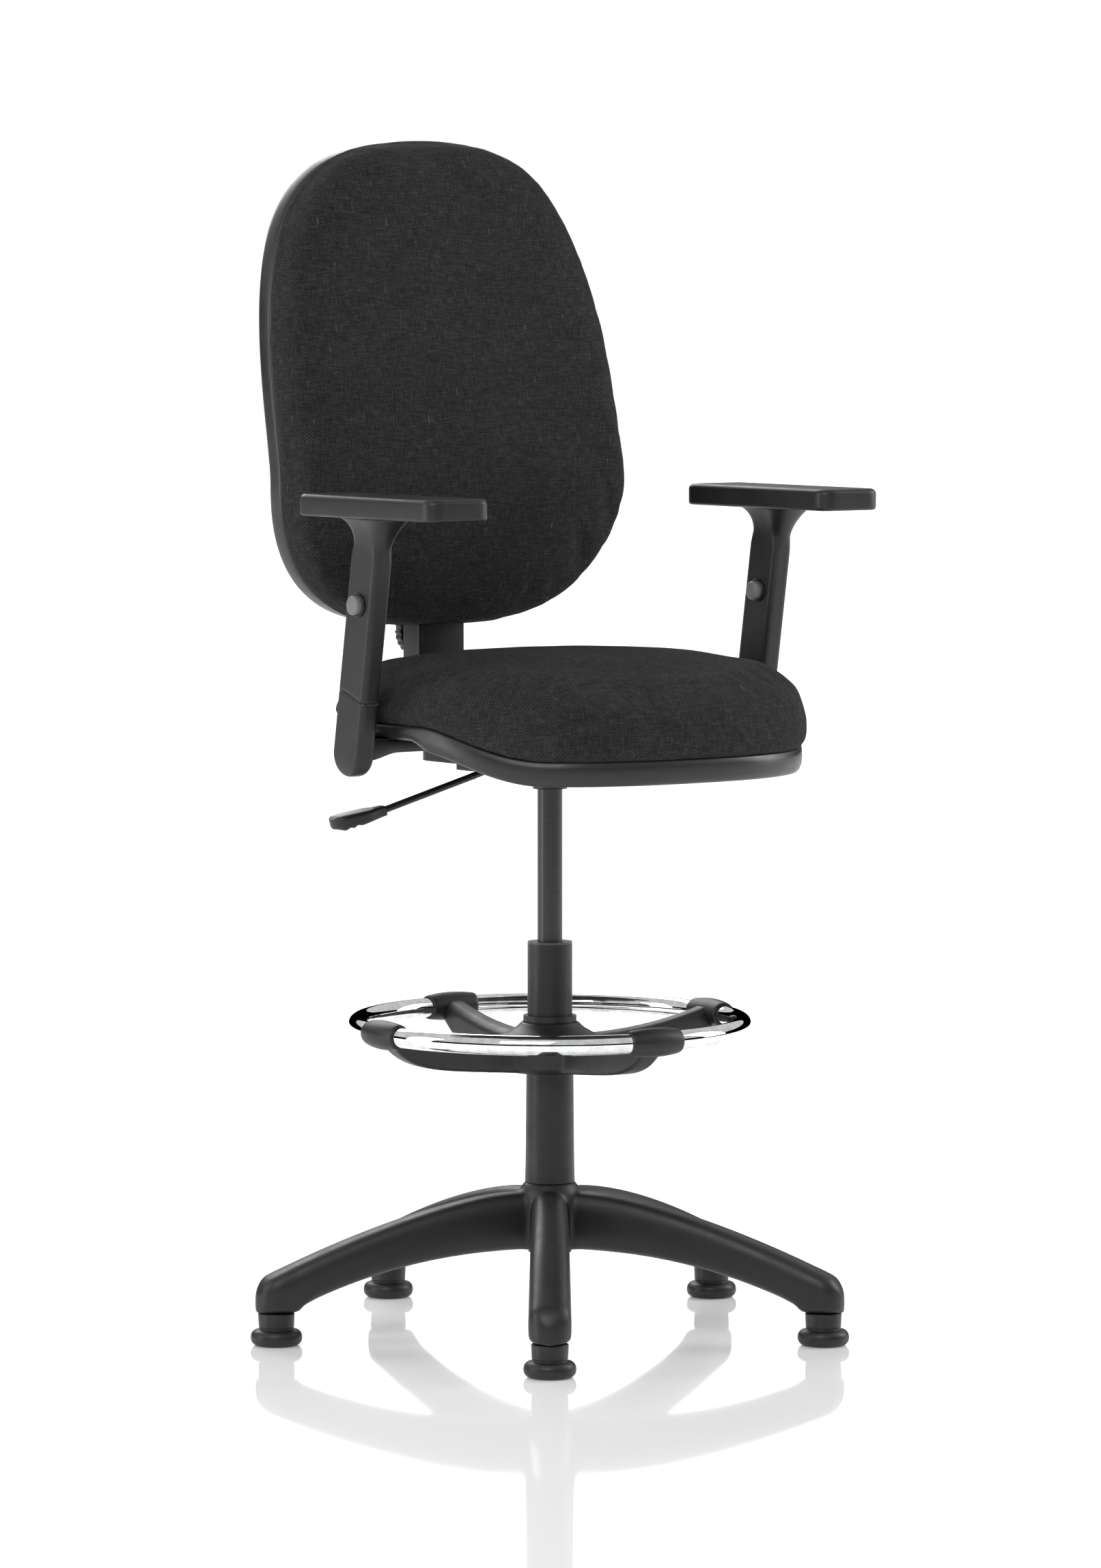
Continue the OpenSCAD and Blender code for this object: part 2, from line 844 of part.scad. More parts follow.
module arm_bolts() {
    color(zinc)
        at_arm_bolts() translate([0, 0, bracket_z - bolt_head_h]) {
            cylinder(h = bolt_head_h, r = 5);
            cylinder(h = bolt_head_h + bracket_t + shell_wall + board_t - 2, r = arm_bolt_r);
        }
}

// Places its children on the raked axis of an arm post, with local Z up the post from the foot
module on_post(side) {
    translate([side * arm_span / 2, arm_foot_y, arm_foot_z])
        rotate([arm_rake, 0, 0]) children();
}

seam_h = (seam_arm_z - arm_foot_z) / cos(arm_rake);
// What stays inside the sliding post at its highest setting
post_overlap = 50;
inner_post_h = seam_h + arm_travel + post_overlap;
module inner_post(side, gap) {
    on_post(side)
        translate([-inner_post_w / 2 - gap, -inner_post_l / 2 - gap, 0])
            cube([inner_post_w + 2 * gap, inner_post_l + 2 * gap, inner_post_h + gap]);
}

module bracket_bar(side) {
    x_out = arm_span / 2 + inner_post_w / 2;
    translate([side > 0 ? bracket_in_x : -x_out, arm_foot_y - bracket_w / 2, bracket_z])
        cube([x_out - bracket_in_x, bracket_w, bracket_t]);
}

module arm_bracket(side) {
    color(charcoal)
        difference() {
            union() {
                bracket_bar(side);
                inner_post(side, 0);
            }
            at_arm_bolts() cylinder(h = seat_top_z, r = arm_bolt_r);
        }
}

module arm_sleeve(side) {
    low_h = (sleeve_low_z - arm_foot_z) / cos(arm_rake);
    beam_x = side > 0 ? bracket_in_x + 30 : -arm_span / 2 + post_w / 2 - 4;
    beam_l = arm_span / 2 - post_w / 2 + 4 - bracket_in_x - 30;
    color(black)
        difference() {
            union() {
                intersection() {
                    on_post(side) translate([0, 0, low_h])
                        rounded_block([post_w, post_l, seam_h - low_h], post_corner);
                    on_post(side) translate([0, 0, low_h + post_l / 2]) {
                        linear_extrude(seam_h) square(2 * post_l, center = true);
                        rotate([0, 90, 0]) cylinder(h = post_w, r = post_l / 2, center = true);
                    }
                }
                translate([beam_x, arm_foot_y - beam_w / 2, bracket_z - beam_h + bracket_t + 6])
                    cube([beam_l, beam_w, beam_h - 6]);
            }
            bracket_bar(side);
            inner_post(side, 0);
        }
}

// The post's flared head: half sizes and middle over the height, from the neck to the pad
head_h = 42;
head_low_z = pad_bottom_z - head_h;
head_flare_l = 23;
head_flare_w = 15;
head_steps = 8;
function flare(i) = pow(i / head_steps, 2.6);
function post_y(z) = arm_foot_y - (z - arm_foot_z) * tan(arm_rake);
head_z = [for (i = [0:head_steps]) head_low_z + head_h * i / head_steps];
function head_edge(i, half, grow) = half + grow * flare(i);
module post_head(side) {
    half_l = post_l / 2 / cos(arm_rake);
    intersection() {
        translate([side * arm_span / 2, 0, 0])
            side_extrude(2 * pad_w)
                polygon(concat(
                    [for (i = [0:head_steps])
                        [post_y(head_z[i]) - head_edge(i, half_l, head_flare_l), head_z[i]]],
                    [for (i = [head_steps:-1:0])
                        [post_y(head_z[i]) + head_edge(i, half_l, head_flare_l), head_z[i]]]
                ));
        translate([side * arm_span / 2, 0, 0])
            face_extrude(-pad_l, pad_l)
                polygon(concat(
                    [for (i = [0:head_steps]) [-head_edge(i, post_w / 2, head_flare_w), head_z[i]]],
                    [for (i = [head_steps:-1:0]) [head_edge(i, post_w / 2, head_flare_w), head_z[i]]]
                ));
    }
}

button_h = (pad_bottom_z - button_drop - arm_foot_z) / cos(arm_rake);
collar_t = 3;
collar_w = 2.2;
module arm_post(side) {
    color(black)
        difference() {
            union() {
                intersection() {
                    on_post(side) translate([0, 0, seam_h + pass_gap])
                        rounded_block([post_w, post_l, pad_bottom_z], post_corner);
                    linear_extrude(head_low_z) square(2 * (arm_span + pad_l), center = true);
                }
                post_head(side);
                // Collar of the push button, on the -X face
                on_post(side) translate([-post_w / 2 - collar_t, 0, button_h]) rotate([0, 90, 0])
                    cylinder(h = collar_t + 1, r = button_r + collar_w);
            }
            inner_post(side, pass_gap);
            on_post(side) translate([-post_w / 2 - collar_t - 1, 0, button_h]) rotate([0, 90, 0])
                cylinder(
                    h = post_w / 2 + collar_t + 1 - inner_post_w / 2 - pass_gap + 0.1,
                    r = button_r + running_gap
                );
        }
}

module arm_button(side) {
    color(button_grey)
        on_post(side) translate([-post_w / 2 - button_out, 0, button_h]) rotate([0, 90, 0])
            cylinder(h = button_l, r = button_r);
}

module arm_pad(side) {
    color("#3a3b3d")
        translate([side * (arm_span / 2 - pad_side_shift), pad_front_shift, pad_bottom_z])
            rounded_block([pad_w, pad_l, pad_t], 14);
}

// --- Lever ---
lever_bend_drop = 21.5;
function lever_bend() = [-105, lever_pivot_z - lever_bend_drop];
module lever_bar(from, to, r) {
    d = to - from;
    translate([from[0], 0, from[1]])
        rotate([0, atan2(d[0], d[1]), 0]) cylinder(h = norm(d), r = r);
}

lever_slope = 0.268;
bend_swell = 0.3;
paddle_l = 68;
rod_end_in_paddle = 40;
lever_end_x = lever_pivot_x - lever_reach;
function lever_line(x) = [x, lever_bend()[1] + (x - lever_bend()[0]) * lever_slope];
module lever_rod() {
    color(black) {
        translate([lever_pivot_x, 0, lever_pivot_z]) rotate([90, 0, 0]) {
            cylinder(h = 24, r = lever_hub_r, center = true);
            cylinder(h = 34, r = lever_pin_r, center = true);
        }
        lever_bar([lever_pivot_x, lever_pivot_z], [0, finger_z], finger_bar_r);
        translate([0, 0, finger_z]) rotate([90, 0, 0]) cylinder(h = 12, r = finger_r, center = true);
        lever_bar([lever_pivot_x, lever_pivot_z], lever_bend(), lever_rod_d / 2);
        translate([lever_bend()[0], 0, lever_bend()[1]]) rotate([0, -90, 0]) rotate([90, 0, 0])
            sphere(lever_rod_d / 2 + bend_swell);
        lever_bar(lever_bend(), lever_line(lever_end_x + rod_end_in_paddle), lever_rod_d / 2);
    }
}

paddle_round = paddle_w / 2 - paddle_l;
module lever_paddle() {
    inner = lever_line(lever_end_x + paddle_l);
    color(black)
        difference() {
            translate([inner[0], 0, inner[1]]) rotate([0, -atan(lever_slope), 0])
                intersection() {
                    rotate([90, 0, 0]) translate([0, 0, -paddle_w])
                        linear_extrude(2 * paddle_w)
                            polygon([
                                [0, -6], [0, 5.5], [-8, 7], [-paddle_l + 3, 13.5],
                                [-paddle_l, 10], [-paddle_l + 2, -1], [-paddle_l + 8, -5]
                            ]);
                    translate([0, 0, -20]) linear_extrude(40)
                        union() {
                            polygon([
                                [1, -8], [1, 8], [paddle_round, paddle_w / 2], [paddle_round, -paddle_w / 2]
                            ]);
                            translate([paddle_round, 0]) circle(paddle_w / 2);
                        }
                }
            lever_bar(lever_bend(), lever_line(lever_end_x + rod_end_in_paddle), lever_rod_d / 2);
        }
}

module release_pin() {
    color(zinc)
        translate([0, 0, release_pin_z])
            cylinder(h = finger_z - finger_r - 0.3 - release_pin_z, r = release_pin_r);
}

// --- Upright and back ---
upright_arm_z = recline_z;
module upright_bar() {
    bend_z = upright_arm_z - upright_t / 2 + upright_bend_r + upright_t;
    bend_y = upright_y + upright_t / 2 - upright_bend_r - upright_t;
    color(charcoal)
        difference() {
            union() {
                translate([0, recline_y, recline_z]) rotate([0, 90, 0])
                    cylinder(h = upright_w, r = 11, center = true);
                translate([-upright_w / 2, recline_y, upright_arm_z - upright_t / 2])
                    cube([upright_w, bend_y - recline_y, upright_t]);
                translate([-upright_w / 2, bend_y, bend_z]) rotate([0, 90, 0])
                    rotate_extrude(angle = 90) translate([upright_bend_r, 0]) square([upright_t, upright_w]);
                translate([-upright_w / 2, upright_y - upright_t / 2, bend_z])
                    cube([upright_w, upright_t, upright_top_z - bend_z]);
            }
            translate([0, recline_y, recline_z]) rotate([0, 90, 0])
                cylinder(h = upright_w + 2, r = recline_pin_r + running_gap, center = true);
            // Room for the coil of the recline spring
            translate([0, recline_y, recline_z]) rotate([0, 90, 0])
                cylinder(h = 20, r = spring_coil_r + spring_wire_r + 1, center = true);
        }
}

module upright_cover() {
    color(black)
        translate([0, 0, cover_low_z])
            linear_extrude(cover_top_z - cover_low_z)
                translate([0, upright_y]) difference() {
                    rounded_square(cover_w, cover_d, 3);
                    square([upright_w, upright_t], center = true);
                    translate([-cover_w / 2 + 3, upright_t / 2 - eps]) square([cover_w - 6, cover_d]);
                }
}

module back_carriage() {
    side = upright_w / 2 + 8;
    front_y = upright_y - upright_t / 2 - 8;
    color(charcoal)
        difference() {
            union() {
                translate([-side, front_y, carriage_low_z])
                    cube([2 * side, carriage_back_y - front_y, carriage_top_z - carriage_low_z]);
                translate([-tail_w / 2, rear_face_y, wheel_z - tail_drop])
                    cube([tail_w, carriage_back_y - rear_face_y, carriage_low_z - wheel_z + tail_drop + 1]);
            }
            translate([-upright_w / 2 - pass_gap, upright_y - upright_t / 2 - pass_gap, carriage_low_z - 1])
                cube([
                    upright_w + 2 * pass_gap, upright_t + 2 * pass_gap,
                    carriage_top_z - carriage_low_z + 2
                ]);
            translate([0, carriage_back_y + 1, wheel_z]) rotate([90, 0, 0])
                cylinder(h = 40, r = stud_r + running_gap);
            at_back_screws() cylinder(h = 100, r = back_screw_r, center = true);
        }
}

back_screw_r = 2.5;
module at_back_screws() {
    for (x = [-1, 1], z = [carriage_low_z + 14, carriage_top_z - 14])
        translate([x * (upright_w / 2 + 4), upright_y - 11, z]) rotate([90, 0, 0]) children();
}

module back_body(near, far, inset) {
    intersection() {
        rotate([90, 0, 90]) translate([0, 0, -back_w / 2 - 1]) linear_extrude(back_w + 2)
            polygon(concat(
                [for (i = [0:len(back_stations) - 1]) [near[i], back_stations[i]]],
                [for (i = [len(back_stations) - 1:-1:0]) [far[i], back_stations[i]]]
            ));
        face_extrude(0, 500) polygon(back_outline(inset));
    }
}

back_board_t = 8;
module back_board() {
    color("#a98d62")
        difference() {
            back_body(
                [for (z = back_stations) back_line(z)],
                [for (z = back_stations) back_line(z) + back_board_t],
                rim_t
            );
            spine_room();
            at_back_screws() cylinder(h = 100, r = back_screw_r, center = true);
        }
}

// Room in the back for the upright, its cover and the carriage on it
spine_room_w = 70;
module spine_room() {
    translate([-spine_room_w / 2, upright_y - cover_d / 2 - pass_gap, back_low_z - 60])
        cube([spine_room_w, 60, upright_top_z - back_low_z + 80]);
}

spine_w = 98;
spine_y = 262;
spine_h = 240;
module back_shell() {
    color(black)
        difference() {
            union() {
                back_body(
                    [for (z = back_stations) back_line(z)],
                    [for (z = back_stations) back_line(z) + back_shell_depth],
                    0
                );
                intersection() {
                    translate([-spine_w / 2, back_front_y + back_board_t, back_low_z])
                        cube([spine_w, spine_y - back_front_y - back_board_t, spine_h]);
                    face_extrude(0, 500) polygon(back_outline(3));
                }
            }
            back_body(
                [for (z = back_stations) back_line(z) - 5],
                [for (z = back_stations) back_line(z) + back_shell_depth - shell_wall],
                rim_t
            );
            translate([-spine_w / 2 + shell_wall, back_front_y - 20, back_low_z - 5])
                cube([
                    spine_w - 2 * shell_wall,
                    spine_y - shell_wall - back_front_y + 20,
                    spine_h + 5 - shell_wall
                ]);
            // The cushion's side of the shell
            back_body(
                [for (z = back_stations) back_line(z) - 60],
                [for (z = back_stations) back_line(z)],
                -1
            );
            // Room for the hand wheel
            translate([0, 300, wheel_z]) rotate([90, 0, 0]) cylinder(h = 70, r = wheel_d / 2 + 3);
        }
}

module back_cushion() {
    color(charcoal)
        difference() {
            back_body(
                [for (z = back_stations) back_face(z)],
                [for (z = back_stations) back_line(z)],
                0
            );
            spine_room();
        }
}

module back_screws() {
    color(zinc)
        for (x = [-1, 1], z = [carriage_low_z + 14, carriage_top_z - 14])
            translate([x * (upright_w / 2 + 4), 0, z]) rotate([-90, 0, 0])
                translate([0, 0, back_line(z) + 1]) {
                    cylinder(h = carriage_back_y - back_line(z) - 1, r = back_screw_r);
                    translate([0, 0, carriage_back_y - back_line(z) - 1])
                        cylinder(h = 3, r = back_screw_r + 2);
                }
}

module hand_wheel() {
    color(black)
        translate([0, carriage_back_y + pass_gap + wheel_t, wheel_z]) rotate([90, 0, 0])
            difference() {
                cylinder(h = wheel_t, r = wheel_d / 2 - 1.5);
                translate([0, 0, -1]) cylinder(h = 5, r = wheel_d / 2 - 8);
                translate([0, 0, 2]) cylinder(h = wheel_t, r = stud_r);
            }
}

module clamp_stud() {
    color(zinc)
        translate([0, carriage_back_y + pass_gap + wheel_t - 2, wheel_z]) rotate([90, 0, 0])
            cylinder(h = carriage_back_y + pass_gap + wheel_t - 2 - rear_face_y, r = stud_r);
}

// The chair stands with its column behind the middle of its box on the floor
box_mid_y = foot_circle_r * (1 - sin(54)) / 2;
translate([0, -box_mid_y, 0]) {
    base_star();
    glide_stems();
    column_tube();
    column_cover();
    guide_bush();
    bearing_race_lower();
    for (i = [0:leg_count - 1])
        glide(i);
    piston_rod();
    piston_head();
    bearing_balls();
    bearing_race_upper();
    bump_stop();
    rod_clip();
    gas_cylinder();
    cylinder_guide();
    mechanism_housing();
    mechanism_plate();
    recline_pin();
    recline_spring();
    seat_board();
    seat_shell();
    seat_cushion();
    seat_bolts();
    seat_tee_nuts();
    arm_bracket(-1);  // arm_bracket_right
    arm_bracket(1);  // arm_bracket_left
    arm_sleeve(-1);  // arm_sleeve_right
    arm_sleeve(1);  // arm_sleeve_left
    arm_bolts();
    arm_post(-1);  // arm_post_right
    arm_post(1);  // arm_post_left
    arm_pad(-1);  // arm_pad_right
    arm_pad(1);  // arm_pad_left
    arm_button(-1);  // arm_button_right
    arm_button(1);  // arm_button_left
    release_pin();
    lever_rod();
    lever_paddle();
    upright_bar();
    upright_cover();
    back_carriage();
    back_board();
    back_shell();
    back_cushion();
    back_screws();
    hand_wheel();
    clamp_stud();
    ring_collet();
    ring_spider();
    foot_ring();
    for (i = [0:3])
        ring_clip(i);
}
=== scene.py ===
"""Drafting chair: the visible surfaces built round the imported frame, laid out as an add-on."""

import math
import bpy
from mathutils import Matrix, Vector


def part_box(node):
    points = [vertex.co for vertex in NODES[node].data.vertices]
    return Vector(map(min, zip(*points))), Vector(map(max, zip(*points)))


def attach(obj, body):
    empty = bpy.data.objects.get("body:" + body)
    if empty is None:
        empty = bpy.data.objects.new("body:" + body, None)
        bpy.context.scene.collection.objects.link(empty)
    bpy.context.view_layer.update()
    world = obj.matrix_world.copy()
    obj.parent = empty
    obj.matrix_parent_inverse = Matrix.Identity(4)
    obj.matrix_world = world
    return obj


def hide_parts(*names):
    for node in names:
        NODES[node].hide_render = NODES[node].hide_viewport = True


bl_info = {
    "name": "Drafting Chair",
    "version": (1, 0, 0),
    "blender": (4, 5, 0),
    "location": "View3D > Sidebar > Chair",
    "description": "Upholstery, mouldings and finishes of a tall swivel chair",
    "category": "Object",
}

import bmesh
import bpy
import numpy as np
from mathutils import Matrix, Vector

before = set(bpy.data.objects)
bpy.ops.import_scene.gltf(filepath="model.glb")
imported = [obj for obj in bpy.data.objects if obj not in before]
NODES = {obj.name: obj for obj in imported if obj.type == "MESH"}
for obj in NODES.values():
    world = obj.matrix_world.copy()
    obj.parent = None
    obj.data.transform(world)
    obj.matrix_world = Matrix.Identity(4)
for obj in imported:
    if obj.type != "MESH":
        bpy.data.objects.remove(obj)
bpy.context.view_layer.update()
MM = 0.001


def middle(node):
    """Middle of a CAD node's box."""
    low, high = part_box(node)
    return (low + high) / 2


# Everything below is written from the column's axis, and moved to it at the end
AXIS_Y = middle("gas_cylinder").y


# --- Plain mathematics ---


def ease(u):
    """Smooth step from 0 to 1."""
    u = np.clip(u, 0, 1)
    return u * u * (3 - 2 * u)


def mix(a, b, u):
    """Straight mix of two values."""
    return a + (b - a) * u


def power(v, p):
    """Signed power, for superellipses."""
    return np.sign(v) * np.abs(v) ** (2 / p)


def egg(half, up, down, round_side, round_up, round_down, count):
    """Closed outline with its own roundness above and below the middle."""
    t = np.linspace(0, 2 * math.pi, count, endpoint=False)
    below, above = down * power(np.sin(t), round_down), up * power(np.sin(t), round_up)
    reach = np.where(np.sin(t) < 0, below, above)
    return np.stack([half * power(np.cos(t), round_side), reach], 1)


def even(points, count):
    """The same closed outline with its points evenly spaced."""
    loop = np.vstack([points, points[:1]])
    run = np.concatenate([[0], np.cumsum(np.linalg.norm(np.diff(loop, axis=0), axis=1))])
    at = np.linspace(0, run[-1], count, endpoint=False)
    return np.stack([np.interp(at, run, loop[:, k]) for k in range(loop.shape[1])], 1)


def block_outline(half_w, half_l, corner, count=48):
    """Rectangle with round corners, anticlockwise."""
    out = []
    for k, (sx, sy) in enumerate(((1, 1), (-1, 1), (-1, -1), (1, -1))):
        for a in np.linspace(0, math.pi / 2, count // 4):
            turn = a + k * math.pi / 2
            x = sx * (half_w - corner) + corner * math.cos(turn)
            y = sy * (half_l - corner) + corner * math.sin(turn)
            out.append((x, y))
    return np.array(out)


# --- Meshes ---


def skin(rings, caps=(True, True)):
    """Vertices and faces of a surface through closed rings of points."""
    rings = np.asarray(rings, float)
    levels, count = rings.shape[:2]
    verts = rings.reshape(-1, 3).tolist()
    faces = []
    for i in range(levels - 1):
        for k in range(count):
            n = (k + 1) % count
            faces.append((i * count + k, i * count + n, (i + 1) * count + n, (i + 1) * count + k))
    for use, level, flip in ((caps[0], 0, True), (caps[1], levels - 1, False)):
        if use:
            centre = len(verts)
            verts.append(rings[level].mean(0).tolist())
            for k in range(count):
                a, b = level * count + k, level * count + (k + 1) % count
                faces.append((b, a, centre) if flip else (a, b, centre))
    return verts, faces


def turned(profile, count=96, closed=False):
    """Surface of revolution about Z through (radius, height) points.

    They begin and end on the axis, or run round a ring's section where it is closed.
    """
    angles = np.linspace(0, 2 * math.pi, count, endpoint=False)
    points = [*profile, profile[0]] if closed else profile
    rings = [
        np.stack([r * np.cos(angles), r * np.sin(angles), np.full(count, z)], 1) for r, z in points
    ]
    return skin(rings, caps=(not closed, not closed))


def rounded_profile(points, radius, steps=5):
    """A run of (radius, height) points with its inner corners rounded."""
    out = [points[0]]
    for before, here, after in zip(points, points[1:], points[2:]):
        here = np.array(here, float)
        a = np.array(before, float) - here
        b = np.array(after, float) - here
        reach = min(radius, np.linalg.norm(a) * 0.45, np.linalg.norm(b) * 0.45)
        start = here + a / np.linalg.norm(a) * reach
        end = here + b / np.linalg.norm(b) * reach
        for u in np.linspace(0, 1, steps):
            out.append(tuple((1 - u) ** 2 * start + 2 * u * (1 - u) * here + u * u * end))
    out.append(points[-1])
    return out


def join(*parts):
    """Several (vertices, faces) lists as one."""
    verts, faces = [], []
    for v, f in parts:
        base = len(verts)
        verts += [list(p) for p in v]
        faces += [tuple(base + i for i in face) for face in f]
    return verts, faces


def placed(part, matrix):
    """A (vertices, faces) pair moved by a matrix."""
    return [list(matrix @ Vector(p)) for p in part[0]], part[1]


def new_object(name, part):
    """An object from vertices and faces, with its normals outward and its faces smooth."""
    verts = np.array(part[0], float)
    verts[:, 1] += AXIS_Y
    mesh = bpy.data.meshes.new(name)
    mesh.from_pydata(verts.tolist(), [], part[1])
    work = bmesh.new()
    work.from_mesh(mesh)
    bmesh.ops.remove_doubles(work, verts=work.verts, dist=1e-6)
    bmesh.ops.recalc_face_normals(work, faces=work.faces)
    work.to_mesh(mesh)
    work.free()
    obj = bpy.data.objects.new(name, mesh)
    bpy.context.scene.collection.objects.link(obj)
    mesh.shade_smooth()
    return obj


def settle(obj):
    """Applies the object's modifiers to its mesh."""
    graph = bpy.context.evaluated_depsgraph_get()
    mesh = bpy.data.meshes.new_from_object(obj.evaluated_get(graph))
    obj.modifiers.clear()
    old = obj.data
    obj.data = mesh
    bpy.data.meshes.remove(old)
    mesh.shade_smooth()
    return obj


def add_modifier(obj, kind, **values):
    """A modifier with its settings."""
    modifier = obj.modifiers.new(kind.title(), kind)
    for key, value in values.items():
        setattr(modifier, key, value)
    return modifier


def melt(obj, voxel, passes):
    """Unites overlapping shells into one skin with soft inside corners."""
    add_modifier(obj, "REMESH", mode="VOXEL", voxel_size=voxel)
    add_modifier(obj, "SMOOTH", factor=0.5, iterations=passes)
    return settle(obj)


def soften(obj, width, segments, angle=30):
    """Rounds the sharp edges of a piece."""
    add_modifier(
        obj,
        "BEVEL",
        width=width,
        segments=segments,
        limit_method="ANGLE",
        angle_limit=math.radians(angle),
    )
    return obj


def finish_piece(obj, body, material, nodes=()):
    """Gives a piece its finish and its place in the frame."""
    obj.data.materials.clear()
    obj.data.materials.append(material)
    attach(obj, body)
    if nodes:
        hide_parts(*nodes)
    return obj


def smooth_by_angle(obj, angle):
    """Smooth faces that keep their sharp edges."""
    work = bmesh.new()
    work.from_mesh(obj.data)
    limit = math.radians(angle)
    for edge in work.edges:
        if len(edge.link_faces) == 2 and edge.calc_face_angle(0) > limit:
            edge.smooth = False
    work.to_mesh(obj.data)
    work.free()
    obj.data.shade_smooth()
    return obj


# --- Nodes of materials ---


def linear(hex_colour):
    """Linear colour of an sRGB hex value."""
    parts = [int(hex_colour[i : i + 2], 16) / 255 for i in (1, 3, 5)]
    return tuple(c / 12.92 if c <= 0.04045 else ((c + 0.055) / 1.055) ** 2.4 for c in parts)


def tint(colour, factor=1.0):
    """A colour made lighter or darker, with its alpha."""
    return (*(min(1.0, c * factor) for c in colour), 1.0)


def add(tree, kind, feeds=None, stops=(), **settings):
    """Adds a node with its settings and links.

    feeds gives its inputs by name or place: a node (its first output) or an output is linked, and
    anything else is a constant. stops are a colour ramp's (place, colour) pairs in rising order.
    """
    node = tree.nodes.new(kind)
    for key, value in settings.items():
        setattr(node, key, value)
    for key, source in (feeds or {}).items():
        if isinstance(source, bpy.types.Node):
            source = source.outputs[0]
        if isinstance(source, bpy.types.NodeSocket):
            tree.links.new(source, node.inputs[key])
        else:
            node.inputs[key].default_value = source
    for k, (place, colour) in enumerate(stops):
        if k == len(node.color_ramp.elements):
            node.color_ramp.elements.new(1.0)
        node.color_ramp.elements[k].position = place
        node.color_ramp.elements[k].color = colour
    return node


def begin(name):
    """An empty node material, its tree, and coordinates in metres that stay with the piece."""
    made = bpy.data.materials.new(name)
    made.use_nodes = True
    made.node_tree.nodes.clear()
    return made, made.node_tree, add(made.node_tree, "ShaderNodeTexCoord").outputs["Object"]


def end(made, feeds):
    """Closes a material with its shader, fed as given."""
    shader = add(made.node_tree, "ShaderNodeBsdfPrincipled", feeds)
    add(made.node_tree, "ShaderNodeOutputMaterial", {"Surface": shader})
    return made


def uneven(tree, clouds, colour, spread, rubs, low, high):
    """Shader feeds: a tint that follows one pattern, and a roughness that follows another."""
    # Fractal noise keeps mostly between these two values
    least, most = 0.3, 0.7
    shades = [(least, tint(colour, 1 - spread)), (most, tint(colour, 1 + spread))]
    span = {"Value": rubs, "From Min": least, "From Max": most, "To Min": low, "To Max": high}
    return {
        "Base Color": add(tree, "ShaderNodeValToRGB", {"Fac": clouds}, shades),
        "Roughness": add(tree, "ShaderNodeMapRange", span),
    }


def moulded(name, colour, low, high, grain=0.55 * MM, depth=0.03 * MM, mottle=0.12):
    """Injection moulding from an eroded tool: a fine even grain that breaks up the highlights."""
    made, tree, place = begin(name)
    clouds = add(tree, "ShaderNodeTexNoise", {"Vector": place, "Scale": 9.0, "Detail": 3.0})
    rubs = add(
        tree, "ShaderNodeTexNoise", {"Vector": place, "Scale": 42.0, "Detail": 5.0, "Roughness": 0.62}
    )
    pits = add(
        tree, "ShaderNodeTexVoronoi", {"Vector": place, "Scale": 1 / grain}, feature="SMOOTH_F1"
    )
    waves = add(tree, "ShaderNodeTexNoise", {"Vector": place, "Scale": 60.0, "Detail": 2.0})
    height = add(tree, "ShaderNodeMath", {0: waves, 1: 2.5, 2: pits}, operation="MULTIPLY_ADD")
    feeds = uneven(tree, clouds, colour, mottle, rubs, low, high)
    relief = {"Height": height, "Distance": depth, "Strength": 1.0}
    feeds["Normal"] = add(tree, "ShaderNodeBump", relief)
    return end(made, feeds | {"IOR": 1.49, "Specular IOR Level": 0.5})


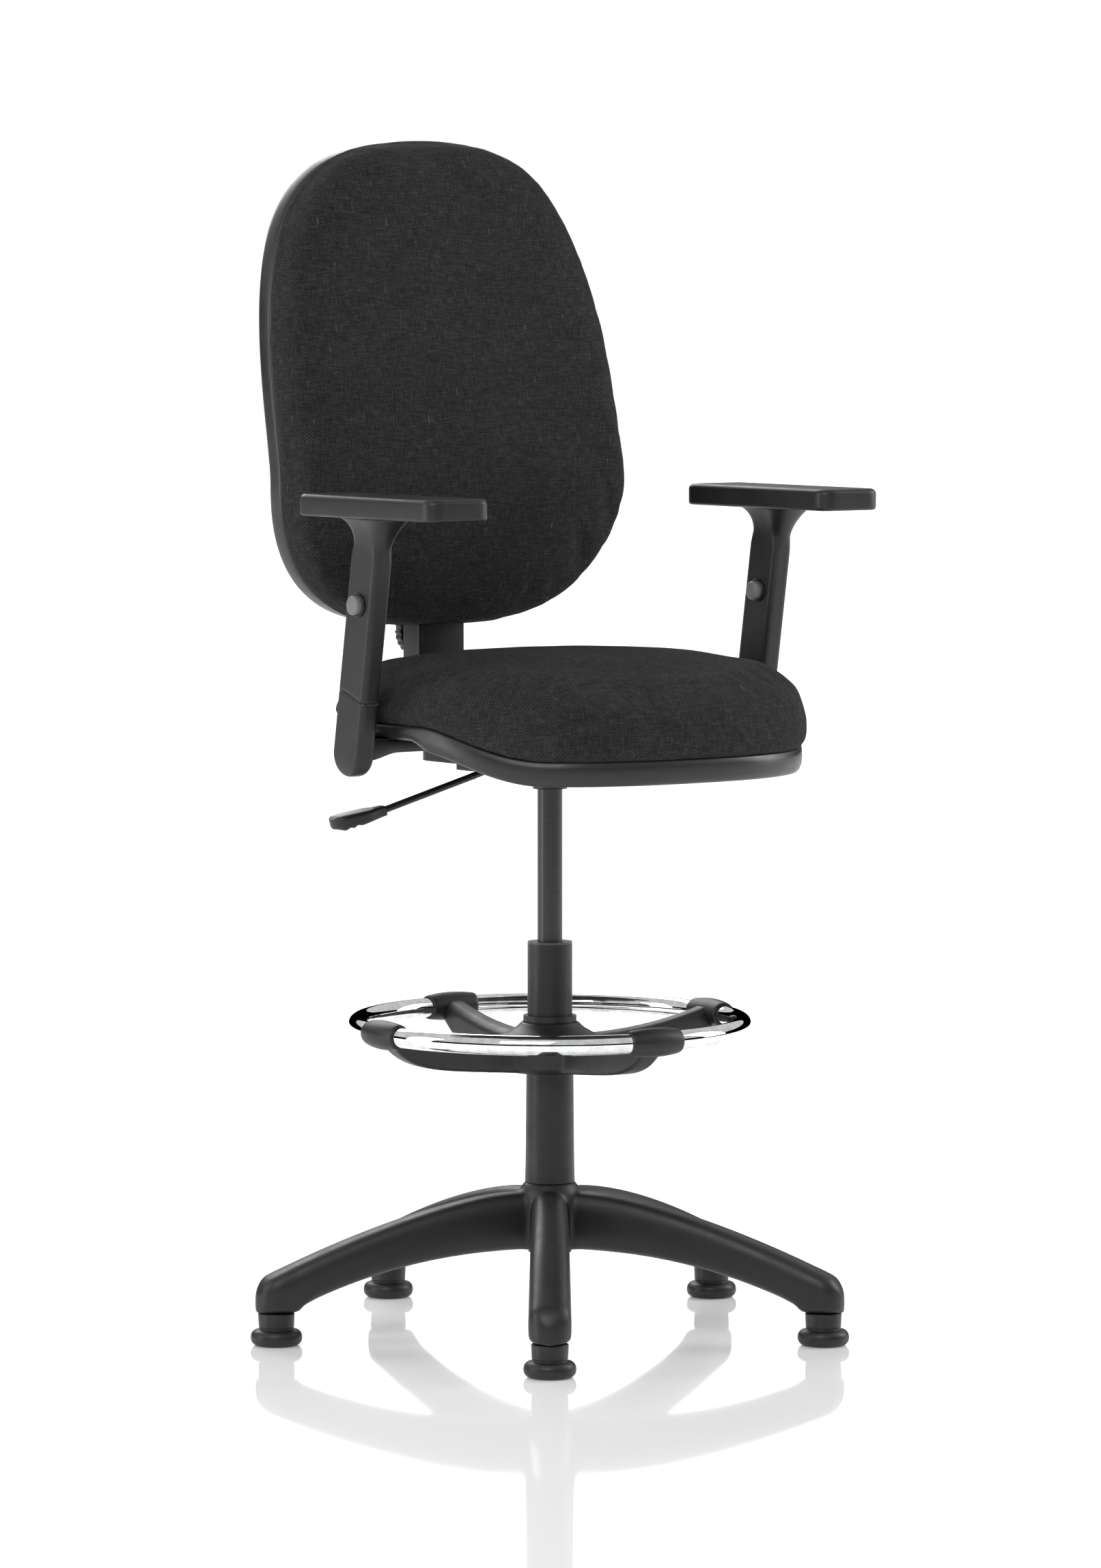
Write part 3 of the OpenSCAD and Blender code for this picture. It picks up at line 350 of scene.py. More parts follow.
def woven(name, dark, light, pitch):
    """Plain weave of a melange yarn: each thread has its own tint along its length.

    The real threads are about 0.6 mm apart, which is too fine to show, so they are drawn wider.
    """
    weft_run, warp_run = 11 * MM, 13 * MM
    slub_width, slub_run = 2.4 * MM, 24 * MM
    waver = 1.6 * MM
    made, tree, place = begin(name)
    shift = add(tree, "ShaderNodeTexNoise", {"Vector": place, "Scale": 55.0, "Detail": 1.0})
    # The threads waver a little from their straight lines
    moved = add(
        tree,
        "ShaderNodeVectorMath",
        {0: shift.outputs["Color"], 1: (waver, waver, waver), 2: place},
        operation="MULTIPLY_ADD",
    )
    axes = add(tree, "ShaderNodeSeparateXYZ", {0: moved}).outputs
    # The weave is drawn along each of the three axes, and the one that a face looks along most wins
    facing = add(tree, "ShaderNodeTexCoord").outputs["Normal"]
    facing = add(tree, "ShaderNodeVectorMath", {0: facing}, operation="ABSOLUTE")
    facing = add(tree, "ShaderNodeVectorMath", {0: facing, 1: (5, 5, 5)}, operation="POWER")
    whole = add(tree, "ShaderNodeVectorMath", {0: facing, 1: (1, 1, 1)}, operation="DOT_PRODUCT")
    shares = add(
        tree, "ShaderNodeVectorMath", {0: facing, 1: whole.outputs["Value"]}, operation="DIVIDE"
    )
    tones, weaves = {}, {}
    for k, (across, up) in enumerate(((1, 2), (0, 2), (0, 1))):
        flat = add(tree, "ShaderNodeCombineXYZ", {0: axes[across], 1: axes[up]})
        threads = []
        for wide, tall, seed, detail in (
            (weft_run, pitch, 0.3 * k, 1.5),
            (pitch, warp_run, 5 + k, 1.5),
            (slub_width, slub_run, 9 + k, 2.0),
        ):
            drawn = add(
                tree,
                "ShaderNodeVectorMath",
                {0: flat, 1: (1 / wide, 1 / tall, 0), 2: (0, 0, seed)},
                operation="MULTIPLY_ADD",
            )
            threads.append(
                add(tree, "ShaderNodeTexNoise", {"Vector": drawn, "Scale": 1.0, "Detail": detail})
            )
        weft, warp, slub = threads
        thick = {"Value": slub, "From Min": 0.68, "From Max": 0.82, "To Min": 0.0, "To Max": 0.8}
        knots = add(tree, "ShaderNodeMapRange", thick)
        turns = add(
            tree, "ShaderNodeVectorMath", {0: flat, "Scale": math.pi / pitch}, operation="SCALE"
        )
        sines = add(tree, "ShaderNodeVectorMath", {0: turns}, operation="SINE")
        sines = add(tree, "ShaderNodeSeparateXYZ", {0: sines}).outputs
        weaves[k] = add(tree, "ShaderNodeMath", {0: sines[0], 1: sines[1]}, operation="MULTIPLY")
        both = add(tree, "ShaderNodeMath", {0: weft, 1: warp}, operation="ADD")
        both = add(tree, "ShaderNodeMath", {0: both, 1: 0.5, 2: knots}, operation="MULTIPLY_ADD")
        tones[k] = add(
            tree, "ShaderNodeMath", {0: weaves[k], 1: 0.22, 2: both}, operation="MULTIPLY_ADD"
        )
    tone, relief = (
        add(
            tree,
            "ShaderNodeVectorMath",
            {0: shares, 1: add(tree, "ShaderNodeCombineXYZ", parts)},
            operation="DOT_PRODUCT",
        ).outputs["Value"]
        for parts in (tones, weaves)
    )
    height = add(tree, "ShaderNodeMath", {0: tone, 1: relief}, operation="ADD")
    clouds = add(tree, "ShaderNodeTexNoise", {"Vector": place, "Scale": 14.0, "Detail": 1.0})
    clouds = add(tree, "ShaderNodeMapRange", {"Value": clouds, "To Min": -0.05, "To Max": 0.05})
    tone = add(tree, "ShaderNodeMath", {0: tone, 1: clouds}, operation="ADD")
    middling = [(a + b) / 2 for a, b in zip(dark, light)]
    yarns = [(0.30, tint(dark)), (0.52, tint(middling)), (0.70, tint(light)), (0.92, tint(light, 2.2))]
    return end(
        made,
        {
            "Base Color": add(tree, "ShaderNodeValToRGB", {"Fac": tone}, yarns),
            "Normal": add(
                tree, "ShaderNodeBump", {"Height": height, "Distance": 0.5 * MM, "Strength": 1.0}
            ),
            "Roughness": 0.93,
            "IOR": 1.45,
            "Specular IOR Level": 0.1,
            "Sheen Weight": 0.03,
            "Sheen Roughness": 0.55,
        },
    )


def skinned_foam(name, colour):
    """Foam skinned in its mould: a soft leather grain of fine pebbles with a dull shine."""
    pebble = 1.3 * MM
    made, tree, place = begin(name)
    clouds = add(tree, "ShaderNodeTexNoise", {"Vector": place, "Scale": 30.0, "Detail": 4.0})
    rubs = add(tree, "ShaderNodeTexNoise", {"Vector": place, "Scale": 25.0, "Detail": 4.0})
    pebbles = add(
        tree, "ShaderNodeTexVoronoi", {"Vector": place, "Scale": 1 / pebble}, feature="SMOOTH_F1"
    )
    creases = add(tree, "ShaderNodeTexNoise", {"Vector": place, "Scale": 400.0, "Detail": 3.0})
    height = add(tree, "ShaderNodeMath", {0: pebbles, 1: creases}, operation="ADD")
    feeds = uneven(tree, clouds, colour, 0.15, rubs, 0.38, 0.5)
    relief = {"Height": height, "Distance": 0.06 * MM, "Strength": 0.7}
    feeds["Normal"] = add(tree, "ShaderNodeBump", relief)
    return end(made, feeds | {"IOR": 1.5, "Specular IOR Level": 0.5})


def metal(name, colour, low, high, line=0.0, depth=0.01 * MM, metallic=1.0):
    """Metal with a drawn, turned or plated finish. line is the spacing of its turning marks along Z."""
    made, tree, place = begin(name)
    pattern = {"Vector": place, "Scale": 90.0, "Detail": 5.0, "Roughness": 0.6}
    if line:
        stretched = {0: place, 1: (4.0, 4.0, 1 / line)}
        marks = add(tree, "ShaderNodeVectorMath", stretched, operation="MULTIPLY")
        pattern = {"Vector": marks, "Scale": 1.0, "Detail": 4.0, "Roughness": 0.7}
    pattern = add(tree, "ShaderNodeTexNoise", pattern)
    feeds = uneven(tree, pattern, colour, 0.2, pattern, low, high)
    relief = {"Height": pattern, "Distance": depth, "Strength": 0.8}
    feeds["Normal"] = add(tree, "ShaderNodeBump", relief)
    return end(made, feeds | {"Metallic": metallic, "Specular IOR Level": 0.5})


def wood(name, pale, deep):
    """Rotary-cut beech ply: straight pores, and glue lines between its veneers."""
    made, tree, place = begin(name)
    stretched = add(tree, "ShaderNodeMapping", {"Vector": place, "Scale": (18.0, 260.0, 700.0)})
    pattern = {"Vector": stretched, "Scale": 1.0, "Detail": 5.0, "Roughness": 0.6}
    grain = add(tree, "ShaderNodeTexNoise", pattern)
    relief = {"Height": grain, "Distance": 0.05 * MM, "Strength": 1.0}
    feeds = {
        "Base Color": add(
            tree, "ShaderNodeValToRGB", {"Fac": grain}, [(0.35, tint(deep)), (0.65, tint(pale))]
        ),
        "Normal": add(tree, "ShaderNodeBump", relief),
    }
    return end(made, feeds | {"Roughness": 0.6, "IOR": 1.5})


def floor_finish(name, colour, rough):
    """Polished white floor: clean reflections near what stands on it, lost further off."""
    made, tree, place = begin(name)
    clouds = add(tree, "ShaderNodeTexNoise", {"Vector": place, "Scale": 0.7, "Detail": 2.0})
    shades = [(0.3, tint(colour, 0.995)), (0.7, tint(colour))]
    feeds = {"Base Color": add(tree, "ShaderNodeValToRGB", {"Fac": clouds}, shades)}
    feeds |= {"Roughness": rough, "IOR": 1.45, "Specular IOR Level": 0.5}
    return end(made, feeds | {"Emission Color": tint(colour), "Emission Strength": 0.12})


# --- Settings ---


def size_setting(name, words, default, low, high):
    """A size property in metres."""
    return bpy.props.FloatProperty(
        name=name,
        description=words,
        default=default,
        min=low,
        max=high,
        subtype="DISTANCE",
        unit="LENGTH",
        precision=4,
    )


def colour_setting(name, words, default):
    """A colour property from a hex value."""
    return bpy.props.FloatVectorProperty(
        name=name,
        description=words,
        default=linear(default),
        min=0.0,
        max=1.0,
        size=3,
        subtype="COLOR",
    )


class ChairUpholstery(bpy.types.PropertyGroup):
    """Sizes and colours of the cushions."""

    seat_bulge: size_setting("Seat bulge", "How far the seat's sides swell out", 0.0055, 0.0, 0.02)
    back_bulge: size_setting("Back bulge", "How far the back's edge swells out", 0.009, 0.0, 0.02)
    swell: size_setting("Swell", "How far the foam may push the cover out", 0.007, 0.0, 0.03)
    thread_pitch: size_setting("Thread pitch", "Spacing of the threads", 0.0017, 0.0005, 0.01)
    fabric_dark: colour_setting("Dark yarn", "Darkest tint of the yarn", "#1a1a1a")
    fabric_light: colour_setting("Light yarn", "Lightest tint of the yarn", "#3e3e3e")


class ChairMouldings(bpy.types.PropertyGroup):
    """Colours of the plastics and metals."""

    nylon: colour_setting("Nylon", "Base, arms and ring hub", "#191919")
    shell: colour_setting("Shell", "Seat and back shells", "#222222")
    pad: colour_setting("Pad", "Arm pads", "#121212")
    button: colour_setting("Button", "Arm buttons", "#737476")
    label: colour_setting("Label", "Print on the lever's paddle", "#a9aaab")
    chrome: colour_setting("Chrome", "Foot ring", "#e9eaec")
    coat: colour_setting("Coat", "Powder-coated steel", "#161617")


class ChairStage(bpy.types.PropertyGroup):
    """Floor and light."""

    floor: colour_setting("Floor", "Colour of the floor", "#f7f7f7")
    floor_shine: bpy.props.FloatProperty(
        name="Floor roughness",
        description="Roughness of the floor",
        default=0.05,
        min=0.0,
        max=1.0,
        subtype="FACTOR",
    )
    key: bpy.props.FloatProperty(
        name="Key", description="Power of the large light", default=85.0, min=0.0, unit="POWER"
    )
    fill: bpy.props.FloatProperty(
        name="Fill", description="Power of the side light", default=60.0, min=0.0, unit="POWER"
    )
    rim: bpy.props.FloatProperty(
        name="Rim",
        description="Power of the light on the shell's edge",
        default=40.0,
        min=0.0,
        unit="POWER",
    )
    wall: bpy.props.FloatProperty(
        name="Wall", description="Strength of the wall that the floor reflects", default=1.5, min=0.0
    )
    world: bpy.props.FloatProperty(
        name="Surround", description="Strength of the light from all round", default=0.62, min=0.0
    )


def upholstery():
    """Settings of the cushions."""
    return bpy.context.scene.chair_upholstery


def mouldings():
    """Settings of the plastics and metals."""
    return bpy.context.scene.chair_mouldings


def stage_settings():
    """Settings of the floor and the lights."""
    return bpy.context.scene.chair_stage


MAKERS = {
    # Woven polyester upholstery: light threads among dark ones, and hardly any shine
    "woven_polyester": lambda name: woven(
        name, upholstery().fabric_dark, upholstery().fabric_light, upholstery().thread_pitch
    ),
    # Glass-filled nylon, moulded: nearly black, with broad soft highlights
    "moulded_nylon": lambda name: moulded(name, mouldings().nylon, 0.40, 0.52),
    # Polypropylene, moulded: a coarser grain and a slightly waxy shine
    "moulded_polypropylene": lambda name: moulded(
        name, mouldings().shell, 0.30, 0.42, grain=0.7 * MM, depth=0.035 * MM
    ),
    # Self-skinned polyurethane: black, with a dull leather shine
    "skinned_polyurethane": lambda name: skinned_foam(name, mouldings().pad),
    # ABS dyed grey, moulded: the one light spot on each arm
    "moulded_button": lambda name: moulded(name, mouldings().button, 0.4, 0.52, mottle=0.05),
    # Acetal, moulded: a clean dark grey with a smooth sheen
    "moulded_acetal": lambda name: moulded(name, linear("#4a4a4b"), 0.3, 0.42, mottle=0.05),
    # Screen print on nylon: flat, light and matt
    "printed_label": lambda name: moulded(name, mouldings().label, 0.45, 0.6, mottle=0.1),
    # Powder-coated steel: a fine orange peel that blurs every highlight
    "powder_coat": lambda name: moulded(
        name, mouldings().coat, 0.38, 0.5, grain=1.1 * MM, depth=0.05 * MM
    ),
    # Drawn steel tube, blackened: a dark shine in lines along its height
    "drawn_black_tube": lambda name: metal(
        name, linear("#383838"), 0.24, 0.42, line=1.3 * MM, depth=0.05 * MM, metallic=0.3
    ),
    # Bright chrome on polished tube: a mirror of what stands round it
    "chrome_plate": lambda name: metal(name, mouldings().chrome, 0.03, 0.05, depth=0.0),
    # Zinc-plated steel: light grey with a satin shine
    "zinc_plate": lambda name: metal(name, linear("#a9adb3"), 0.25, 0.4),
    # Ground steel: fine turning marks that draw the highlight out sideways
    "ground_steel": lambda name: metal(name, linear("#9b9ea3"), 0.18, 0.3, line=0.4 * MM),
    # Beech ply, sanded: pale and warm, with fine brown pores
    "beech_ply": lambda name: wood(name, linear("#d0ac7c"), linear("#a5804f")),
    # Rubber, moulded: black and fully matt
    "moulded_rubber": lambda name: moulded(name, linear("#1c1c1d"), 0.7, 0.85),
    # Polished white floor: it mirrors the feet
    "polished_floor": lambda name: floor_finish(
        name, stage_settings().floor, stage_settings().floor_shine
    ),
}
FINISHES = {}


def finish(name):
    """The material of that name, made once."""
    if name not in FINISHES:
        FINISHES[name] = MAKERS[name](name)
    return FINISHES[name]


# --- Lines of the seat and the back, in metres from the column's axis ---

SEAT_TOP = 0.765
SEAM = 0.693
SEAT_HALF = 0.245
SEAT_FRONT = 0.280
SEAT_REAR = 0.190
BACK_LOW = 0.785
BACK_MID = 0.9448
BACK_TOP = 1.325
BACK_HALF = 0.224
SEAT_CENTRE = np.array([0.0, -0.045])
BACK_CENTRE = np.array([0.0, 1.05])
CROWN_START = -0.109
FLOOR_DROP = 0.0165
NOSE_DROP = 0.0275
# Points of an outline before they are spaced evenly
FINE = 720
# Shares of the way out from a cushion's middle, at which its crown has rings
CROWN_RINGS = (0.985, 0.95, 0.88, 0.78, 0.66, 0.52, 0.38, 0.24, 0.12)
COVER_VOXEL = 0.0055


def seam_height(y):
    """Height of the seam between the seat's cover and its shell."""
    return SEAM - 0.033 * ease((-0.084 - y) / 0.1484)


def seat_outline(inset, count=192):
    """Outline of the seat from above."""
    sizes = (SEAT_HALF - inset, SEAT_REAR - inset, SEAT_FRONT - inset)
    return even(egg(*sizes, 2.5, 2.1, 2.65, FINE), count)


def back_outline(inset, count=192):
    """Outline of the back from in front, as (x, z)."""
    sizes = (BACK_HALF - inset, BACK_TOP - BACK_MID - inset, BACK_MID - BACK_LOW - inset)
    points = even(egg(*sizes, 3.1, 3.0, 1.9, FINE), count)
    points[:, 1] += BACK_MID
    return points


def back_line(z):
    """Front-to-back place of the seam between the back's cushion and its shell."""
    bend = 0.22 * (np.hypot(z - BACK_MID, 0.030) - 0.030)
    curl = 0.016 * (np.maximum(0, z - BACK_TOP + 0.105) / 0.105) ** 2
    return 0.201 + bend - curl


def outward(edge, centre):
    """Directions from a middle to the points of an outline."""
    out = edge - centre
    return out / np.linalg.norm(out, axis=1)[:, None]


# --- Cushions ---


def swell_cover(obj, held, cap):
    """Lets the cover swell under pressure, as foam does, held where it is glued and capped elsewhere."""
    add_modifier(obj, "REMESH", mode="VOXEL", voxel_size=COVER_VOXEL)
    settle(obj)
    add_modifier(obj, "SMOOTH", factor=0.5, iterations=4)
    settle(obj)
    rest = np.array([v.co for v in obj.data.vertices])
    group = obj.vertex_groups.new(name="held")
    for i, weight in enumerate(held(rest)):
        if weight > 0:
            group.add([i], float(weight), "REPLACE")
    cloth = obj.modifiers.new("Cover", "CLOTH")
    cloth.settings.vertex_group_mass = "held"
    cloth.settings.quality = 4
    cloth.settings.mass = 0.3
    cloth.settings.tension_stiffness = 12
    cloth.settings.compression_stiffness = 12
    cloth.settings.shear_stiffness = 5
    cloth.settings.bending_stiffness = 1.5
    cloth.settings.use_pressure = True
    cloth.settings.uniform_pressure_force = 4
    cloth.settings.effector_weights.gravity = 0
    cloth.collision_settings.use_collision = False
    cloth.collision_settings.use_self_collision = False
    scene = bpy.context.scene
    last_frame = 20
    for step in range(1, last_frame + 1):
        scene.frame_set(step)
    graph = bpy.context.evaluated_depsgraph_get()
    moved = np.array([v.co for v in obj.evaluated_get(graph).data.vertices])
    obj.modifiers.clear()
    scene.frame_set(1)
    shift = moved - rest
    far = np.linalg.norm(shift, axis=1)
    shift *= (cap * np.tanh(far / cap) / np.maximum(far, 1e-9))[:, None]
    obj.data.vertices.foreach_set("co", (rest + shift).ravel())
    obj.vertex_groups.clear()
    return obj


def edge_profile(thick, radius, bulge, steps=14):
    """Side of a cushion: (how far in from its edge, how high), from the seam up and over the corner."""
    straight = thick - radius
    points = [
        (-bulge * math.sin(math.pi * (0.08 + 0.64 * u)), straight * u)
        for u in np.linspace(0, 1, steps)
    ]
    top = -points[-1][0]
    for a in np.linspace(0, math.pi / 2, steps)[1:]:
        points.append(((radius + top) * (1 - math.cos(a)) - top, straight + radius * math.sin(a)))
    return np.array(points)


def seat_cover_mesh(bulge, lower):
    """Closed crowned form of the seat cushion, lower by that much than it ends up."""
    edge = seat_outline(0.0015)
    direction = outward(edge, SEAT_CENTRE)
    ahead = np.clip(-direction[:, 1], 0, 1)
    base = seam_height(edge[:, 1])

    def crown(spot):
        fall = 0.011 * np.clip((spot[:, 1] - CROWN_START) / 0.3, 0, 1) ** 2
        wide = 0.016 * (np.abs(spot[:, 0]) / SEAT_HALF) ** 2.6
        nose = 0.022 * np.clip((CROWN_START - spot[:, 1]) / 0.171, 0, 1.05) ** 2.4
        return SEAT_TOP - lower - fall - wide - nose

    rim = crown(edge)
    rings = []
    profiles = [
        edge_profile(
            float(rim[i] - base[i]),
            float(mix(0.030, 0.047, ease(ahead[i] * 1.3))),
            float(mix(bulge, 2.2 * bulge, ease(ahead[i] * 1.3))),
        )
        for i in range(len(edge))
    ]
    for k in range(len(profiles[0])):
        inset = np.array([profile[k][0] for profile in profiles])
        rise = np.array([profile[k][1] for profile in profiles])
        spot = edge - direction * inset[:, None]
        rings.append(np.column_stack([spot, base + rise]))
    last = rings[-1]
    for scale in CROWN_RINGS:
        spot = SEAT_CENTRE + (last[:, :2] - SEAT_CENTRE) * scale
        level = mix(crown(spot), last[:, 2], ease((scale - 0.6) / 0.4))
        rings.append(np.column_stack([spot, level]))
    floor = []
    for inset, drop in ((0.05, 0.004), (0.004, 0.002)):
        ring = edge - direction * inset
        floor.append(np.column_stack([ring, seam_height(ring[:, 1]) - drop]))
    return skin(floor + rings)


def back_cover_mesh(bulge, thinner):
    """Closed crowned form of the back cushion, thinner by that much than it ends up."""
    edge = back_outline(0.0015)
    direction = outward(edge, BACK_CENTRE)
    thick = 0.053 - thinner
    profile = edge_profile(thick, 0.014, bulge)
    rings = []
    for inset, rise in profile:
        spot = edge - direction * inset
        rings.append(np.column_stack([spot[:, 0], back_line(edge[:, 1]) - rise, spot[:, 1]]))
    last = rings[-1]
    for scale in CROWN_RINGS:
        flat = BACK_CENTRE + (last[:, [0, 2]] - BACK_CENTRE) * scale
        rise = thick + 0.004 * (1 - scale**3)
        rings.append(np.column_stack([flat[:, 0], back_line(flat[:, 1]) - rise, flat[:, 1]]))
    rear = []
    for inset, deep in ((0.05, 0.003), (0.004, 0.001)):
        ring = edge - direction * inset
        rear.append(np.column_stack([ring[:, 0], back_line(ring[:, 1]) + deep, ring[:, 1]]))
    return skin(rear + rings)


def ripple(obj, depth, seed, along):
    """Faint waves where the cover isn't stretched evenly."""
    from_noise = bpy.data.textures.new(obj.name + "_waves", "CLOUDS")
    from_noise.noise_scale = 0.06
    from_noise.noise_depth = 1
    mover = bpy.data.objects.new(obj.name + "_waves", None)
    mover.location = seed
    mover.scale = along
    bpy.context.scene.collection.objects.link(mover)
    add_modifier(
        obj,
        "DISPLACE",
        texture=from_noise,
        texture_coords="OBJECT",
        texture_coords_object=mover,
        strength=depth,
        mid_level=0.5,
    )
    bpy.context.view_layer.update()
    settle(obj)
    bpy.data.objects.remove(mover)
    return obj


class CHAIR_OT_seat_cushion(bpy.types.Operator):
    """Builds the seat cushion's cover"""

    bl_idname = "chair.seat_cushion"
    bl_label = "Seat Cushion"

    def execute(self, context):
        cloth = upholstery()
        obj = new_object("seat_cover", seat_cover_mesh(cloth.seat_bulge, 0.6 * cloth.swell))

        def held(points):
            above = points[:, 2] - seam_height(points[:, 1] - AXIS_Y)
            return 1 - ease((above - 0.004) / 0.012)

        swell_cover(obj, held, cloth.swell)
        ripple(obj, 0.0016, (0.3, 0.1, 0.0), (1.0, 1.6, 1.0))
        add_modifier(obj, "SUBSURF", levels=1, render_levels=1)
        settle(obj)
        finish_piece(obj, "seat", finish("woven_polyester"), ["seat_cushion"])
        return {"FINISHED"}


class CHAIR_OT_back_cushion(bpy.types.Operator):
    """Builds the back cushion's cover"""

    bl_idname = "chair.back_cushion"
    bl_label = "Back Cushion"

    def execute(self, context):
        cloth = upholstery()
        obj = new_object("back_cover", back_cover_mesh(cloth.back_bulge, 0.6 * cloth.swell))

        def held(points):
            ahead = back_line(points[:, 2]) - (points[:, 1] - AXIS_Y)
            return 1 - ease((ahead - 0.003) / 0.010)

        swell_cover(obj, held, cloth.swell)
        ripple(obj, 0.0014, (0.1, 0.4, 0.7), (1.7, 1.0, 1.0))
        add_modifier(obj, "SUBSURF", levels=1, render_levels=1)
        settle(obj)
        finish_piece(obj, "back", finish("woven_polyester"), ["back_cushion"])
        return {"FINISHED"}


# --- Shells ---


def seat_shell_mesh():
    """Moulded shell: a rolled rim round the seam, deeper at the nose, and a floor inside it."""
    count = 240
    edge = seat_outline(0.0, count)
    inward = np.roll(edge, 1, 0) - np.roll(edge, -1, 0)
    inward = np.stack([inward[:, 1], -inward[:, 0]], 1)
    inward /= np.linalg.norm(inward, axis=1)[:, None]
    inward *= -np.sign((inward * (edge - SEAT_CENTRE)).sum(1))[:, None]
    top = seam_height(edge[:, 1])
    deep = mix(FLOOR_DROP, NOSE_DROP, ease((-0.070 - edge[:, 1]) / 0.034))
    rings = []
    # (inset in mm, share of the depth, extra depth in mm)
    outer = (
        (12, 0.0, 0.5),
        (3.2, 0.0, 0.3),
        (1.2, 0.0, -0.6),
        (0.0, 0.06, 0),
        (-0.9, 0.28, 0),
        (-1.0, 0.5, 0),
        (-0.4, 0.72, 0),
        (1.2, 0.88, 0),
        (3.6, 0.97, 0),
        (6.5, 1.0, 0),
        (9.0, 0.985, 0),
    )
    for inset, share, extra in outer:
        spot = edge + inward * (inset * MM)
        rings.append(np.column_stack([spot, top - deep * share + extra * MM]))
    for inset, rise in ((11.0, 0.35), (12.0, 0.8), (16.0, 1.0)):
        spot = edge + inward * (inset * MM)
        low = top - deep
        floor = seam_height(spot[:, 1]) - FLOOR_DROP
        rings.append(np.column_stack([spot, mix(low + 0.0006, floor, rise)]))
    for scale in (0.88, 0.7, 0.45, 0.2):
        spot = SEAT_CENTRE + (edge - SEAT_CENTRE) * scale
        rings.append(np.column_stack([spot, seam_height(spot[:, 1]) - FLOOR_DROP]))
    return skin(rings, caps=(False, True))


def with_parts(obj, others):
    """Joins other objects' meshes into obj."""
    work = bmesh.new()
    work.from_mesh(obj.data)
    for other in others:
        work.from_mesh(other.data)
    work.to_mesh(obj.data)
    work.free()
    for other in others:
        bpy.data.objects.remove(other)
    obj.data.shade_smooth()
    return obj


def back_shell_mesh():
    """Rear cover of the back: a rounded rim and a slightly crowned rear face."""
    edge = back_outline(0.0, 240)
    direction = outward(edge, BACK_CENTRE)
    rings = []
    # (inset in mm, how far behind the seam in mm)
    rim = (
        (14, -0.2), (3.0, -0.4), (1.0, 0.3), (0, 1.6), (-0.7, 5), (-1.1, 10),
        (-1.2, 16), (-0.9, 20), (0.2, 22.6), (2.4, 24.0), (6.0, 24.5), (20.0, 24.7),
    )
    for inset, deep in rim:
        spot = edge - direction * (inset * MM)
        rings.append(np.column_stack([spot[:, 0], back_line(spot[:, 1]) + deep * MM, spot[:, 1]]))
    for scale in (0.78, 0.6, 0.4, 0.2):
        spot = BACK_CENTRE + (edge - BACK_CENTRE) * scale
        rings.append(np.column_stack([spot[:, 0], back_line(spot[:, 1]) + 24.3 * MM, spot[:, 1]]))
    return skin(rings, caps=(False, True))


def spine_mesh():
    """Raised spine on the rear cover that houses the upright, notched round the hand wheel."""
    half, low, high = 0.049, 0.7875, 1.025
    corner, notch = 0.012, 0.0345
    wheel_z = middle("hand_wheel").z
    points = [(half, low + 0.004), (half, high - corner)]
    for side, start in ((1, 0), (-1, math.pi / 2)):
        points += [
            (side * (half - corner) + corner * math.cos(a), high - corner + corner * math.sin(a))
            for a in np.linspace(start, start + math.pi / 2, 8)
        ]
    points += [(-half, high - corner), (-half, low + 0.004)]
    start = math.asin((low - wheel_z) / notch)
    points += [
        (-notch * math.cos(a), wheel_z + notch * math.sin(a))
        for a in np.linspace(start, math.pi - start, 28)
    ]
    # The arcs' ends repeat the straight lines' ends
    points = [p for p, before in zip(points, [(0, 0), *points]) if math.dist(p, before) > 1e-5]
    count = len(points)
    front, rear = 0.212, 0.262
    verts = [(x, max(front, back_line(z) + 0.004), z) for x, z in points]
    verts += [(x, rear - 0.0016 * (x / half) ** 2, z) for x, z in points]
    faces = [tuple(range(count)), tuple(range(2 * count - 1, count - 1, -1))]
    faces += [(k, (k + 1) % count, count + (k + 1) % count, count + k) for k in range(count)]
    return verts, faces


class CHAIR_OT_shells(bpy.types.Operator):
    """Builds the seat's and the back's moulded shells"""

    bl_idname = "chair.shells"
    bl_label = "Shells"

    def execute(self, context):
        obj = new_object("seat_pan", seat_shell_mesh())
        finish_piece(obj, "seat", finish("moulded_polypropylene"), ["seat_shell"])
        obj = new_object("back_pan", back_shell_mesh())
        add_modifier(obj, "SUBSURF", levels=1, render_levels=1)
        settle(obj)
        spine = new_object("back_spine", spine_mesh())
        soften(spine, 0.005, 4)
        settle(spine)
        with_parts(obj, [spine])
        smooth_by_angle(obj, 50)
        finish_piece(obj, "back", finish("moulded_polypropylene"), ["back_shell"])
        return {"FINISHED"}


# --- Base and glides ---

HUB_TOP = 0.169
HUB_LOW = 0.094
FOOT_R = 0.318
LEG_END_HALF = 0.0235
HUB_R = 0.034


def leg_turn(k):
    """Direction of a leg: the first points backwards."""
    return math.radians(90 + 72 * k)


def leg_lines(r):
    """Upper and lower line and half width of a leg at a radius."""
    u = np.clip((r - 0.045) / (FOOT_R - 0.040), 0, 1)
    top = 0.1592 - (0.1592 - 0.0790) * u**1.5
    v = np.clip((r - 0.030) / 0.2645, 0, 1)
    low = HUB_LOW - (HUB_LOW - 0.042) * v**2.2
    low = mix(low, 0.0362, ease((r - 0.2905) / 0.008))
    half = mix(0.0205, LEG_END_HALF, u)
    return top, low, half


